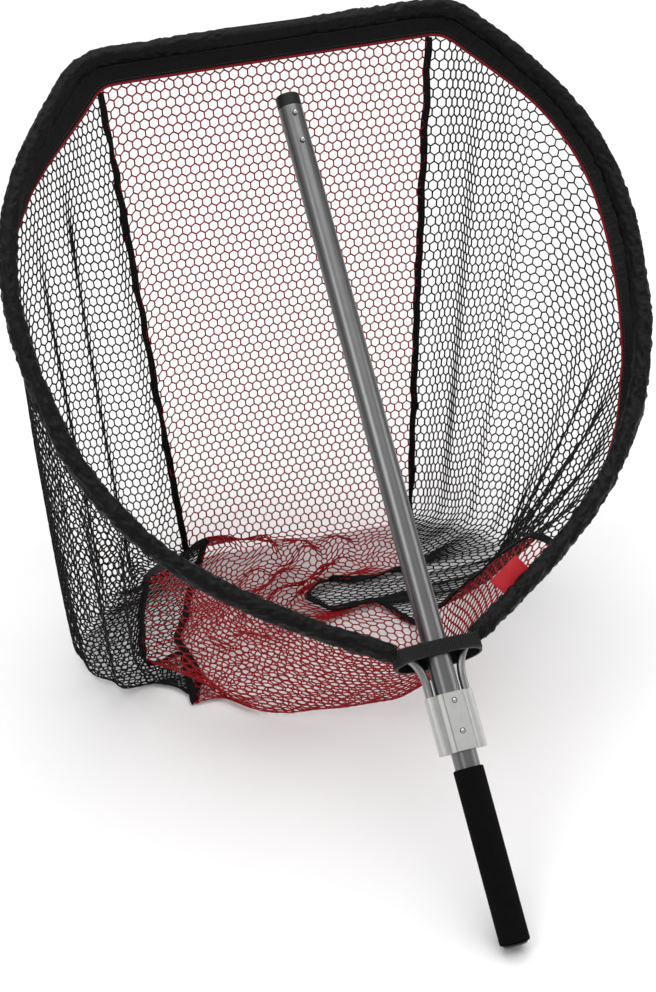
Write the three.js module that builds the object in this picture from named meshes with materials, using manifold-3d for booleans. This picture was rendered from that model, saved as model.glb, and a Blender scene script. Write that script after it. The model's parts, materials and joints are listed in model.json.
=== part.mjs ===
// Landing net with a sliding handle, standing on the ground: the grip's end and the floor of the bag
// touch the ground, and the hoop leans back over the bag. Millimetres, +Z up, origin on the ground
// under the middle of the object. X is sideways, Y runs from the grip towards the hoop.
//
// Two frames are used. The rigid parts are drawn in the handle's own frame and then tilted as one
// group: there x is sideways, y ("along") is the distance up the handle from the end of the grip, and
// z ("out") is square to the hoop's plane, towards the open side. The bag is drawn standing on the
// ground.
import * as THREE from "three";
import { mergeVertices } from "three/addons/utils/BufferGeometryUtils.js";
import Module from "manifold-3d";

const wasm = await Module();
wasm.setup();

// ---------------------------------------------------------------- driving sizes

const GAP = 0.3;                 // between pieces that touch
const RUN = 0.3;                 // running clearance, on the radius

const HANDLE_RISE = THREE.MathUtils.degToRad(40);
const HANDLE_LENGTH = 1043;      // end of the foam grip to the end of the cap
const TUBE_OD = 30;
const TUBE_WALL = 1.5;

const GRIP_LENGTH = 203;
const GRIP_OD = TUBE_OD + 6;
const GRIP_EDGE = 1.2;           // chamfer on the foam's ends
const BUTT_PLUG_OD = TUBE_OD - 1;
const BUTT_PLUG_PROUD = 3;
const BUTT_PLUG_DEPTH = 22;

const CAP_LENGTH = 16;           // part of the end cap that shows
const CAP_PLUG_DEPTH = 6;
const CAP_BORE = TUBE_OD - 12;
const PLUG_EASE = 0.3;           // plug to tube bore, on the radius

const YOKE_START = 223;          // lower end of the yoke block
const YOKE_LENGTH = 68;
const YOKE_WALL = 1.6;           // between the tube's bore and an arm's bore
const FLAT_WIDTH = 23.5;         // raised flat on the front and back of the block
const FLAT_HEIGHT = 3.5;         // flat above the tube's surface
const CHANNEL_WALL = 1.8;

const ARM_OD = 10;               // the hoop tube and its two arms
const ARM_WALL = 1.4;
const ARM_INSET = 2;             // arm end inside the yoke's lower end

const BUTTON_OD = 6;
const BUTTON_FLANGE_OD = 8;
const BUTTON_PROUD = 1.2;        // dome above the yoke's flat
const BUTTON_LOW = 22;           // first button above the yoke's lower end
const BUTTON_SPACING = 36;
const BUTTON_FROM_CAP = 12;      // upper button below the end cap
const BUTTON_EASE = 0.4;         // button to its holes, on the radius
const SPRING_WIDTH = 7;
const SPRING_STRIP = 0.7;
const SPRING_LENGTH = 36;

const RIVET_OD = 3.2;
const RIVET_HEAD_OD = 6;
const RIVET_HEAD_HEIGHT = 1.5;
const RIVET_EASE = 0.2;
const RIVET_ENDS = [13, 55];     // above the yoke's lower end

const COLLAR_TOP = 353;
const COLLAR_HEIGHT = 16;        // of the band at the front
const COLLAR_BACK_DROP = 13;     // the band is this much taller at the back
const COLLAR_HALF_WIDTH = 54;
const COLLAR_HALF_DEPTH = TUBE_OD / 2 + 8;
const COLLAR_WALL = 3;
const COLLAR_TUBE_EASE = 0.6;

const HOOP_HALF_WIDTH = 386;     // centre line of the hoop tube
const HOOP_TOP = HANDLE_LENGTH + 87;   // centre line of the front bar, clear of the stowed handle
const HOOP_WIDEST = HOOP_TOP - 297;
const BAR_HALF = 205;            // straight half of the front bar
const CORNER_RADIUS = 70;
const CORNER_HEADING = THREE.MathUtils.degToRad(132);
const ARM_EXIT = [52, 351];      // where an arm leaves the collar
const ARM_HEADING = THREE.MathUtils.degToRad(30);
const ARM_STRAIGHT = 12;         // arm above the yoke, before it bends
const BEND_PULL = [35, 12];      // curve handles of the arm's bend, the hoop's side and its shoulder
const SIDE_PULL = [183, 300];
const SHOULDER_PULL = [120, 97];
const SLEEVE_OD = 20;

const SKIRT_DROP = 27;           // hoop centre to the lower edge of the stitched skirt
const SKIRT_THICKNESS = 1.6;
const SKIRT_START_X = 72;        // the skirt and piping stop this far from the middle
const SKIRT_LEAN = THREE.MathUtils.degToRad(65);
const PIPING_OD = 3.6;

const MESH_THICKNESS = 2;        // solid that stands for a panel of netting
const TAPE_OD = 4;               // bound seams of the bag
const BACK_SEAM_X = 212;         // seams on the front bar
const FRONT_SEAM_LEFT = -280;    // seams on the arms' side of the hoop
const FRONT_SEAM_RIGHT = 190;
const BASE_SET_IN = 68;          // back edge of the bag's floor, in from the bar above
const BASE_LENGTH = 290;
const BASE_BACK_HALF = 157;
const BASE_FRONT_LEFT = -205;
const BASE_FRONT_RIGHT = 130;
const SIDE_SET_IN_LEFT = 52;     // widest part of the bag's floor, in from the hoop
const SIDE_SET_IN_RIGHT = 120;

const TAG_X = 125;               // label tag, on the right arm's side
const TAG_LENGTH = 46;
const TAG_WIDTH = 20;
const TAG_THICKNESS = 1;

// ---------------------------------------------------------------- sizes that follow

const TUBE_RADIUS = TUBE_OD / 2;
const TUBE_BORE = TUBE_RADIUS - TUBE_WALL;
const YOKE_BORE = TUBE_RADIUS + RUN;
const ARM_RADIUS = ARM_OD / 2;
const ARM_X = YOKE_BORE + YOKE_WALL + ARM_RADIUS + GAP;
const FLAT_OUT = TUBE_RADIUS + FLAT_HEIGHT;
const YOKE_TOP = YOKE_START + YOKE_LENGTH;
const TUBE_START = GAP;
const TUBE_END = HANDLE_LENGTH - CAP_LENGTH - GAP;
const BUTTON_TRAVEL = FLAT_OUT + BUTTON_PROUD - TUBE_RADIUS;
const YOKE_BUTTONS = [YOKE_START + BUTTON_LOW, YOKE_START + BUTTON_LOW + BUTTON_SPACING];
const HEAD_TRAVEL = HANDLE_LENGTH - CAP_LENGTH - BUTTON_FROM_CAP - YOKE_BUTTONS[1];
const BUTTONS = [...YOKE_BUTTONS, ...YOKE_BUTTONS.map((along) => along + HEAD_TRAVEL)];
const SLEEVE_RADIUS = SLEEVE_OD / 2;
const PIPING_REACH = SKIRT_DROP + GAP + PIPING_OD / 2;
const NET_REACH = PIPING_REACH + PIPING_OD / 2 + GAP + MESH_THICKNESS / 2;
const SEAM_ROOM = TAPE_OD / 2 + GAP + MESH_THICKNESS;

// ---------------------------------------------------------------- closed meshes

function closedMesh(points, triangles) {
  const geometry = new THREE.BufferGeometry();
  geometry.setAttribute("position", new THREE.Float32BufferAttribute(points.flat(), 3));
  let volume = 0;
  const [a, b, c] = [new THREE.Vector3(), new THREE.Vector3(), new THREE.Vector3()];
  for (const [i, j, k] of triangles) {
    volume += a.fromArray(points[i]).dot(b.fromArray(points[j]).cross(c.fromArray(points[k])));
  }
  const outward = volume > 0 ? triangles : triangles.map(([i, j, k]) => [i, k, j]);
  geometry.setIndex(outward.flat());
  return geometry;
}

function solidOf(geometry) {
  const bare = geometry.clone();
  bare.deleteAttribute("normal");
  bare.deleteAttribute("uv");
  const merged = mergeVertices(bare, 1e-4);
  return new wasm.Manifold(new wasm.Mesh({
    numProp: 3,
    vertProperties: new Float32Array(merged.attributes.position.array),
    triVerts: new Uint32Array(merged.index.array),
  }));
}

function geometryOf(solid) {
  const mesh = solid.getMesh();
  const geometry = new THREE.BufferGeometry();
  geometry.setAttribute("position", new THREE.Float32BufferAttribute(mesh.vertProperties, 3));
  geometry.setIndex(new THREE.BufferAttribute(mesh.triVerts, 1));
  return geometry;
}

function cut(geometry, ...tools) {
  return geometryOf(tools.reduce((left, tool) => left.subtract(solidOf(tool)), solidOf(geometry)));
}

// A solid of turning about the y axis, from [radius, y] pairs that close on themselves.
function turned(profile, sides) {
  const loop = [...profile, profile[0]].map(([radius, y]) => new THREE.Vector2(radius, y));
  const lathe = new THREE.LatheGeometry(loop, sides);
  lathe.deleteAttribute("normal");
  lathe.deleteAttribute("uv");
  const merged = mergeVertices(lathe, 1e-4);
  const points = [];
  const position = merged.attributes.position;
  for (let i = 0; i < position.count; i += 1) {
    points.push([position.getX(i), position.getY(i), position.getZ(i)]);
  }
  const triangles = [];
  for (let i = 0; i < merged.index.count; i += 3) {
    const triangle = [0, 1, 2].map((n) => merged.index.getX(i + n));
    if (new Set(triangle).size === 3) triangles.push(triangle);
  }
  return closedMesh(points, triangles);
}

function rod(radius, length, sides) {
  return new THREE.CylinderGeometry(radius, radius, length, sides);
}

// A cylinder standing square to the hoop's plane, from out = low to out = high.
function pinOut(x, along, low, high, radius, sides = 16) {
  const pin = rod(radius, high - low, sides);
  pin.rotateX(Math.PI / 2);
  pin.translate(x, along, (low + high) / 2);
  return pin;
}

// Joins rings of points, each ring the same length, into a closed tube; inner rings make it hollow.
function skin(rings, innerRings = null) {
  const points = [];
  const triangles = [];
  const addRings = (list) => {
    const starts = list.map((ring) => {
      points.push(...ring);
      return points.length - ring.length;
    });
    return starts;
  };
  const wall = (starts, sides, flip) => {
    for (let i = 0; i + 1 < starts.length; i += 1) {
      for (let j = 0; j < sides; j += 1) {
        const next = (j + 1) % sides;
        const quad = [starts[i] + j, starts[i] + next, starts[i + 1] + next, starts[i + 1] + j];
        if (flip) quad.reverse();
        triangles.push([quad[0], quad[1], quad[2]], [quad[0], quad[2], quad[3]]);
      }
    }
  };
  const sides = rings[0].length;
  const outer = addRings(rings);
  wall(outer, sides, false);
  if (!innerRings) {
    for (let j = 1; j + 1 < sides; j += 1) {
      triangles.push([outer[0], outer[0] + j + 1, outer[0] + j]);
      const last = outer.at(-1);
      triangles.push([last, last + j, last + j + 1]);
    }
    return closedMesh(points, triangles);
  }
  const inner = addRings(innerRings);
  wall(inner, sides, true);
  for (let j = 0; j < sides; j += 1) {
    const next = (j + 1) % sides;
    const [a, b, c, d] = [outer[0] + j, outer[0] + next, inner[0] + next, inner[0] + j];
    triangles.push([a, c, b], [a, d, c]);
    const [e, f, g, h] = [outer.at(-1) + j, outer.at(-1) + next, inner.at(-1) + next, inner.at(-1) + j];
    triangles.push([e, f, g], [e, g, h]);
  }
  return closedMesh(points, triangles);
}

function circle(radius, sides) {
  const step = (2 * Math.PI) / sides;
  return Array.from({ length: sides }, (_, i) => [radius * Math.cos(i * step), radius * Math.sin(i * step)]);
}

// ---------------------------------------------------------------- the hoop's centre line

function bezier(p0, p1, p2, p3, steps) {
  const curve = new THREE.CubicBezierCurve(
    ...[p0, p1, p2, p3].map(([x, y]) => new THREE.Vector2(x, y)),
  );
  return curve.getPoints(steps).map((point) => [point.x, point.y]);
}

function ahead([x, y], heading, distance) {
  return [x + distance * Math.cos(heading), y + distance * Math.sin(heading)];
}

// Right half of the hoop, from the arm's end in the yoke to the middle of the front bar.
function rightHalf() {
  const up = Math.PI / 2;
  const armStart = [ARM_X, YOKE_START + ARM_INSET];
  const armBend = [ARM_X, YOKE_TOP + ARM_STRAIGHT];
  const widest = [HOOP_HALF_WIDTH, HOOP_WIDEST];
  const centre = [BAR_HALF, HOOP_TOP - CORNER_RADIUS];
  const corner = ahead(centre, CORNER_HEADING - up, CORNER_RADIUS);
  const joined = (from, fromHeading, to, toHeading, [pull, push], steps) => (
    bezier(from, ahead(from, fromHeading, pull), ahead(to, toHeading, -push), to, steps)
  );
  const arm = joined(armBend, up, ARM_EXIT, ARM_HEADING, BEND_PULL, 8);
  const side = joined(ARM_EXIT, ARM_HEADING, widest, up, SIDE_PULL, 15);
  const shoulder = joined(widest, up, corner, CORNER_HEADING, SHOULDER_PULL, 7);
  const arcSteps = 5;
  const arc = Array.from({ length: arcSteps }, (_, i) => {
    const heading = CORNER_HEADING + ((Math.PI - CORNER_HEADING) * (i + 1)) / arcSteps;
    return ahead(centre, heading - up, CORNER_RADIUS);
  });
  return [armStart, ...arm, ...side.slice(1), ...shoulder.slice(1), ...arc, [BAR_HALF / 2, HOOP_TOP]];
}

const half = rightHalf();
const hoopLine = [
  ...half.map(([x, y]) => [-x, y]),
  [0, HOOP_TOP],
  ...half.slice().reverse(),
];

// At each point: place, and the unit vector in the hoop's plane towards its inside.
const hoopFrames = hoopLine.map(([x, y], i) => {
  const [x0, y0] = hoopLine[Math.max(i - 1, 0)];
  const [x1, y1] = hoopLine[Math.min(i + 1, hoopLine.length - 1)];
  const length = Math.hypot(x1 - x0, y1 - y0);
  return { x, y, inX: (y1 - y0) / length, inY: -(x1 - x0) / length };
});

// The skirt leans inwards along the bar and the right side, and hangs square to the hoop elsewhere.
function skirtLean({ x, y }) {
  const turn = THREE.MathUtils.radToDeg(Math.atan2(x, y - HOOP_WIDEST));
  const left = THREE.MathUtils.smoothstep(turn, -95, -40);
  const right = 1 - THREE.MathUtils.smoothstep(turn, 95, 150);
  return SKIRT_LEAN * Math.min(left, right);
}

// The point at a distance from the hoop's centre line, on the line that the skirt hangs along.
function onSkirt(frame, reach) {
  const lean = skirtLean(frame);
  const inward = reach * Math.sin(lean);
  return [frame.x + inward * frame.inX, frame.y + inward * frame.inY, -reach * Math.cos(lean)];
}

function alongHoop(frames, section) {
  return frames.map(({ x, y, inX, inY }) => section.map(([a, b]) => [x + a * inX, y + a * inY, b]));
}

const sleeveFrames = hoopFrames.filter(({ x, y }) => Math.abs(x) >= ARM_EXIT[0] - 1e-6 && y > COLLAR_TOP - 5
  || y > HOOP_WIDEST);
const skirtFrames = sleeveFrames.filter(({ x, y }) => Math.abs(x) >= SKIRT_START_X || y > HOOP_WIDEST);

// ---------------------------------------------------------------- handle

function handleTube() {
  const outer = circle(TUBE_RADIUS, 32);
  const inner = circle(TUBE_BORE, 32);
  const ring = (section, along) => section.map(([x, out]) => [x, along, out]);
  const tube = skin(
    [ring(outer, TUBE_START), ring(outer, TUBE_END)],
    [ring(inner, TUBE_START), ring(inner, TUBE_END)],
  );
  const holes = BUTTONS.map((along) => pinOut(0, along, 0, TUBE_OD, BUTTON_OD / 2 + BUTTON_EASE));
  return cut(tube, ...holes);
}

function gripFoam() {
  const bore = TUBE_RADIUS + GAP;
  const radius = GRIP_OD / 2;
  return turned([
    [bore, 0], [radius - GRIP_EDGE, 0], [radius, GRIP_EDGE],
    [radius, GRIP_LENGTH - GRIP_EDGE], [radius - GRIP_EDGE, GRIP_LENGTH], [bore, GRIP_LENGTH],
  ], 32);
}

function buttPlug() {
  const plug = TUBE_BORE - PLUG_EASE;
  const rim = BUTT_PLUG_OD / 2;
  return turned([
    [0, -BUTT_PLUG_PROUD], [rim - 2, -BUTT_PLUG_PROUD], [rim, -BUTT_PLUG_PROUD + 1.5], [rim, TUBE_START - GAP],
    [plug, TUBE_START - GAP], [plug, BUTT_PLUG_DEPTH], [plug - 2, BUTT_PLUG_DEPTH], [plug - 2, 2], [0, 2],
  ], 28);
}

function handleEndCap() {
  const plug = TUBE_BORE - PLUG_EASE;
  const shoulder = TUBE_END + GAP;
  return turned([
    [0, HANDLE_LENGTH], [TUBE_RADIUS - 1.5, HANDLE_LENGTH], [TUBE_RADIUS, HANDLE_LENGTH - 1.5],
    [TUBE_RADIUS, shoulder], [plug, shoulder], [plug, shoulder - CAP_PLUG_DEPTH],
    [CAP_BORE / 2, shoulder - CAP_PLUG_DEPTH], [CAP_BORE / 2, HANDLE_LENGTH - 3], [0, HANDLE_LENGTH - 3],
  ], 32);
}

// A sprung button: a domed pin with a flange that stops against the inside of the tube.
function lockButton(along) {
  const radius = BUTTON_OD / 2;
  const top = FLAT_OUT + BUTTON_PROUD;
  const flange = Math.sqrt(TUBE_BORE ** 2 - (BUTTON_FLANGE_OD / 2) ** 2) - GAP;
  const button = turned([
    [0, flange - 1.8], [BUTTON_FLANGE_OD / 2, flange - 1.8], [BUTTON_FLANGE_OD / 2, flange],
    [radius, flange], [radius, top - 1.8], [radius * 0.8, top - 0.7], [radius * 0.4, top - 0.15], [0, top],
  ], 16);
  button.rotateX(Math.PI / 2);
  button.translate(0, along, 0);
  return button;
}

// A bent strip: one leaf lies along the far side of the tube, the other rises to the button.
function lockSpring(along) {
  const seat = Math.sqrt(TUBE_BORE ** 2 - (BUTTON_FLANGE_OD / 2) ** 2) - GAP - 1.8 - GAP;
  const floor = -Math.sqrt(TUBE_BORE ** 2 - (SPRING_WIDTH / 2) ** 2) + GAP;
  const bend = along - SPRING_LENGTH;
  const tip = along + BUTTON_OD / 2;
  const strip = new THREE.Shape([
    [bend, floor], [along - 8, floor], [along - 8, floor + SPRING_STRIP],
    [bend + 1.6, floor + SPRING_STRIP], [along - 4, seat - SPRING_STRIP], [tip, seat - SPRING_STRIP],
    [tip, seat], [along - 4.4, seat], [bend - 0.6, floor + SPRING_STRIP],
  ].map(([y, out]) => new THREE.Vector2(y, out)));
  const leaf = new THREE.ExtrudeGeometry(strip, { depth: SPRING_WIDTH, bevelEnabled: false });
  leaf.translate(0, 0, -SPRING_WIDTH / 2);
  leaf.applyMatrix4(new THREE.Matrix4().makeBasis(
    new THREE.Vector3(0, 1, 0), new THREE.Vector3(0, 0, 1), new THREE.Vector3(1, 0, 0),
  ));
  return leaf;
}

// ---------------------------------------------------------------- yoke, arms and collar

// Section of the yoke block in [x, out]: a raised flat, a grooved shoulder and a channel each side.
function yokeQuarter() {
  const flat = FLAT_WIDTH / 2;
  const channel = ARM_RADIUS + GAP + CHANNEL_WALL;
  const shoulder = ARM_X - channel * 0.62;
  const points = [
    [flat, FLAT_OUT], [flat, FLAT_OUT - 2], [flat + 1.4, FLAT_OUT - 2], [flat + 1.4, FLAT_OUT - 1.2],
    [shoulder - 0.8, FLAT_OUT - 4], [shoulder, FLAT_OUT - 8], [shoulder, FLAT_OUT - 10.5],
  ];
  for (let degrees = 115; degrees >= 0; degrees -= 23) {
    const angle = THREE.MathUtils.degToRad(degrees);
    points.push([ARM_X + channel * Math.cos(angle), channel * Math.sin(angle)]);
  }
  return points;
}

function yokeBlock() {
  const quarter = yokeQuarter();
  const right = [...quarter, ...quarter.slice(0, -1).reverse().map(([x, out]) => [x, -out])];
  const outline = [...right, ...right.slice().reverse().map(([x, out]) => [-x, out])];
  const shape = new THREE.Shape(outline.map(([x, out]) => new THREE.Vector2(x, -out)));
  const block = new THREE.ExtrudeGeometry(shape, { depth: YOKE_LENGTH, bevelEnabled: false });
  block.rotateX(-Math.PI / 2);
  block.translate(0, YOKE_START, 0);
  const bores = [[0, YOKE_BORE, 32], [-ARM_X, ARM_RADIUS + GAP, 16], [ARM_X, ARM_RADIUS + GAP, 16]];
  const boreTools = bores.map(([x, radius, sides]) => {
    const tool = rod(radius, YOKE_LENGTH + 20, sides);
    tool.translate(x, YOKE_START + YOKE_LENGTH / 2, 0);
    return tool;
  });
  const buttonHoles = YOKE_BUTTONS.map((along) => pinOut(0, along, 0, FLAT_OUT + 5, BUTTON_OD / 2 + BUTTON_EASE));
  return cut(block, ...boreTools, ...buttonHoles, ...rivetHoles());
}

function rivetPlaces() {
  return [-1, 1].flatMap((side) => RIVET_ENDS.map((end) => [side * ARM_X, YOKE_START + end]));
}

function rivetHoles() {
  return rivetPlaces().map(([x, along]) => pinOut(x, along, -ARM_OD, 0, RIVET_OD / 2 + RIVET_EASE));
}

// A blind rivet through the back of the channel into the arm.
function armRivet([x, along]) {
  const channel = ARM_RADIUS + GAP + CHANNEL_WALL;
  const seat = channel + GAP;
  const radius = RIVET_OD / 2;
  const rivet = turned([
    [0, ARM_RADIUS - ARM_WALL - 1.5], [radius, ARM_RADIUS - ARM_WALL - 1.5], [radius, seat],
    [RIVET_HEAD_OD / 2, seat], [RIVET_HEAD_OD / 2 - 0.4, seat + 0.7], [1.6, seat + RIVET_HEAD_HEIGHT],
    [0, seat + RIVET_HEAD_HEIGHT],
  ], 14);
  rivet.rotateX(-Math.PI / 2);
  rivet.translate(x, along, 0);
  return rivet;
}

function hoopTube() {
  const outer = alongHoop(hoopFrames, circle(ARM_RADIUS, 12));
  const inner = alongHoop(hoopFrames, circle(ARM_RADIUS - ARM_WALL, 12));
  return cut(skin(outer, inner), ...rivetHoles());
}

function oval(halfWidth, halfDepth, low, high, sides = 40) {
  const ring = (along) => circle(1, sides).map(([x, out]) => {
    const flatter = Math.sign(x) * Math.abs(x) ** 0.8;
    return [halfWidth * flatter, along, halfDepth * out];
  });
  return skin([ring(low), ring(high)]);
}

// The moulded collar that holds the arms apart: a ribbed band round a web, open towards the yoke.
function collar() {
  const low = COLLAR_TOP - COLLAR_HEIGHT - COLLAR_BACK_DROP;
  const body = oval(COLLAR_HALF_WIDTH, COLLAR_HALF_DEPTH, low, COLLAR_TOP);
  const hollow = oval(
    COLLAR_HALF_WIDTH - COLLAR_WALL, COLLAR_HALF_DEPTH - COLLAR_WALL, low - 1, COLLAR_TOP - COLLAR_WALL,
  );
  const tubeHole = rod(TUBE_RADIUS + COLLAR_TUBE_EASE, 100, 32);
  tubeHole.translate(0, COLLAR_TOP, 0);
  const slope = Math.atan2(COLLAR_BACK_DROP, 2 * COLLAR_HALF_DEPTH);
  const trim = new THREE.BoxGeometry(3 * COLLAR_HALF_WIDTH, 60, 120);
  trim.translate(0, -30, 0);
  trim.rotateX(-slope);
  trim.translate(0, COLLAR_TOP - COLLAR_HEIGHT - COLLAR_BACK_DROP / 2, 0);
  const nearby = hoopFrames.filter(({ y }) => y < COLLAR_TOP + 60);
  const passages = [-1, 1].map((side) => {
    const frames = nearby.filter(({ x }) => x * side > 0);
    return skin(alongHoop(frames, circle(ARM_RADIUS + RUN, 14)));
  });
  const mouths = [-1, 1].map((side) => {
    const frames = sleeveFrames.filter(({ x, y }) => x * side > 0 && y < COLLAR_TOP + 60);
    const inner = side < 0 ? frames[0] : frames.at(-1);
    const start = { ...inner, x: inner.x - side * 2 * Math.cos(ARM_HEADING), y: inner.y - 2 * Math.sin(ARM_HEADING) };
    const run = side < 0 ? [start, ...frames] : [...frames, start];
    return skin(alongHoop(run, circle(SLEEVE_RADIUS + GAP, 16)));
  });
  return cut(body, hollow, tubeHole, trim, ...passages, ...mouths);
}

// ---------------------------------------------------------------- sleeve, skirt and piping

function sleeve() {
  return skin(
    alongHoop(sleeveFrames, circle(SLEEVE_RADIUS, 12)),
    alongHoop(sleeveFrames, circle(ARM_RADIUS + GAP, 12)),
  );
}

// A flat strip from the sleeve down to the piping.
function sleeveSkirt() {
  const rings = skirtFrames.map((frame) => {
    const top = new THREE.Vector3(...onSkirt(frame, SLEEVE_RADIUS + GAP));
    const edge = new THREE.Vector3(...onSkirt(frame, SKIRT_DROP));
    const down = edge.clone().sub(top).normalize();
    const run = new THREE.Vector3(-frame.inY, frame.inX, 0);
    const side = down.clone().cross(run).multiplyScalar(SKIRT_THICKNESS / 2);
    return [
      top.clone().add(side), edge.clone().add(side), edge.clone().sub(side), top.clone().sub(side),
    ].map((point) => point.toArray());
  });
  return skin(rings);
}

function skirtPiping() {
  const section = circle(PIPING_OD / 2, 6);
  const rings = skirtFrames.map((frame) => {
    const [x, y, out] = onSkirt(frame, PIPING_REACH);
    return section.map(([a, b]) => [x + a * frame.inX, y + a * frame.inY, out + b]);
  });
  return skin(rings);
}

// A plain sewn tag lying inside the right arm's side of the hoop.
function labelTag() {
  const frame = skirtFrames.filter(({ x, y }) => x > 0 && y < HOOP_WIDEST)
    .reduce((best, next) => (Math.abs(next.x - TAG_X) < Math.abs(best.x - TAG_X) ? next : best));
  const tag = new THREE.BoxGeometry(TAG_WIDTH, TAG_LENGTH, TAG_THICKNESS);
  const run = new THREE.Vector3(-frame.inY, frame.inX, 0);
  const inward = new THREE.Vector3(frame.inX, frame.inY, 0);
  tag.applyMatrix4(new THREE.Matrix4().makeBasis(inward, run, new THREE.Vector3(0, 0, 1)));
  const reach = SLEEVE_RADIUS + 2 + TAG_WIDTH / 2;
  tag.translate(frame.x + reach * frame.inX, frame.y + reach * frame.inY, -4);
  return tag;
}

// ---------------------------------------------------------------- the bag, standing on the ground

const GRIP_LOW = (GRIP_OD / 2) * Math.cos(HANDLE_RISE) - GRIP_EDGE * Math.sin(HANDLE_RISE);
const tilt = new THREE.Matrix4().makeTranslation(0, 0, GRIP_LOW)
  .multiply(new THREE.Matrix4().makeRotationX(HANDLE_RISE));

function standing([x, along, out]) {
  return new THREE.Vector3(x, along, out).applyMatrix4(tilt);
}

// The rim of the bag, as standing points just below the piping, split by its four seams.
const rim = skirtFrames.map((frame) => ({ frame, point: standing(onSkirt(frame, NET_REACH)) }));
const onBar = ({ frame }) => frame.y > HOOP_TOP - 1;

function crossing(list, x) {
  for (let i = 0; i + 1 < list.length; i += 1) {
    const [a, b] = [list[i], list[i + 1]];
    if ((a.frame.x - x) * (b.frame.x - x) <= 0) {
      const share = (x - a.frame.x) / (b.frame.x - a.frame.x || 1);
      return { at: i + share, point: a.point.clone().lerp(b.point, share) };
    }
  }
  return null;
}

const firstBar = rim.findIndex(onBar);
const leftRim = rim.slice(0, firstBar + 1);
const rightRim = rim.slice(rim.length - firstBar - 1);
const lowerLeft = leftRim.filter(({ frame }) => frame.y < HOOP_WIDEST);
const lowerRight = rightRim.filter(({ frame }) => frame.y < HOOP_WIDEST);
const lowerRightOffset = rim.length - lowerRight.length;
const upper = rim.filter(({ frame }) => frame.y >= HOOP_WIDEST);
const upperOffset = lowerLeft.length;

const frontLeft = crossing(lowerLeft, FRONT_SEAM_LEFT);
const frontRight = crossing(lowerRight, FRONT_SEAM_RIGHT);
const backLeft = crossing(upper, -BACK_SEAM_X);
const backRight = crossing(upper, BACK_SEAM_X);
const seamIndex = {
  frontLeft: frontLeft.at,
  backLeft: backLeft.at + upperOffset,
  backRight: backRight.at + upperOffset,
  frontRight: frontRight.at + lowerRightOffset,
};

// Rim points between two seams, with the seam points as ends.
function rimBetween(from, to, first, last) {
  const inside = rim.filter((_, i) => i > from + 0.02 && i < to - 0.02).map(({ point }) => point);
  return [first, ...inside, last];
}

const backY = standing([0, HOOP_TOP, 0]).y - BASE_SET_IN;
const frontY = backY - BASE_LENGTH;
const corners = {
  backLeft: new THREE.Vector3(-BASE_BACK_HALF, backY, 0),
  backRight: new THREE.Vector3(BASE_BACK_HALF, backY, 0),
  frontRight: new THREE.Vector3(BASE_FRONT_RIGHT, frontY, 0),
  frontLeft: new THREE.Vector3(BASE_FRONT_LEFT, frontY, 0),
};

// One side of the bag's floor, bowed out between its two corners.
function baseSide(from, to, bulgeX) {
  const middle = from.clone().lerp(to, 0.5);
  const pull = new THREE.Vector3(2 * bulgeX - middle.x, middle.y, 0);
  return new THREE.QuadraticBezierCurve3(from, pull, to);
}

const leftSide = baseSide(corners.frontLeft, corners.backLeft, -(HOOP_HALF_WIDTH - SIDE_SET_IN_LEFT));
const rightSide = baseSide(corners.backRight, corners.frontRight, HOOP_HALF_WIDTH - SIDE_SET_IN_RIGHT);

function resample(points, count) {
  const path = new THREE.CurvePath();
  for (let i = 0; i + 1 < points.length; i += 1) path.add(new THREE.LineCurve3(points[i], points[i + 1]));
  return path.getSpacedPoints(count);
}

// Takes a run of points back from both of its ends by the room that a seam needs.
function shortened(points, room) {
  const length = points.slice(1).reduce((sum, point, i) => sum + point.distanceTo(points[i]), 0);
  const path = new THREE.CurvePath();
  for (let i = 0; i + 1 < points.length; i += 1) path.add(new THREE.LineCurve3(points[i], points[i + 1]));
  const count = points.length - 1;
  return Array.from({ length: count + 1 }, (_, i) => {
    const share = room / length + (1 - (2 * room) / length) * (i / count);
    return path.getPointAt(share);
  });
}

// A thin solid between an upper and a lower run of points.
function hangingPanel(upperRun, lowerRun, columns, rows) {
  const top = resample(shortened(upperRun, SEAM_ROOM), columns);
  const bottom = resample(shortened(lowerRun, SEAM_ROOM), columns);
  const grid = Array.from({ length: rows + 1 }, (_, r) => top.map((point, c) => (
    point.clone().lerp(bottom[c], r / rows)
  )));
  return thickSheet(grid, MESH_THICKNESS);
}

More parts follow.
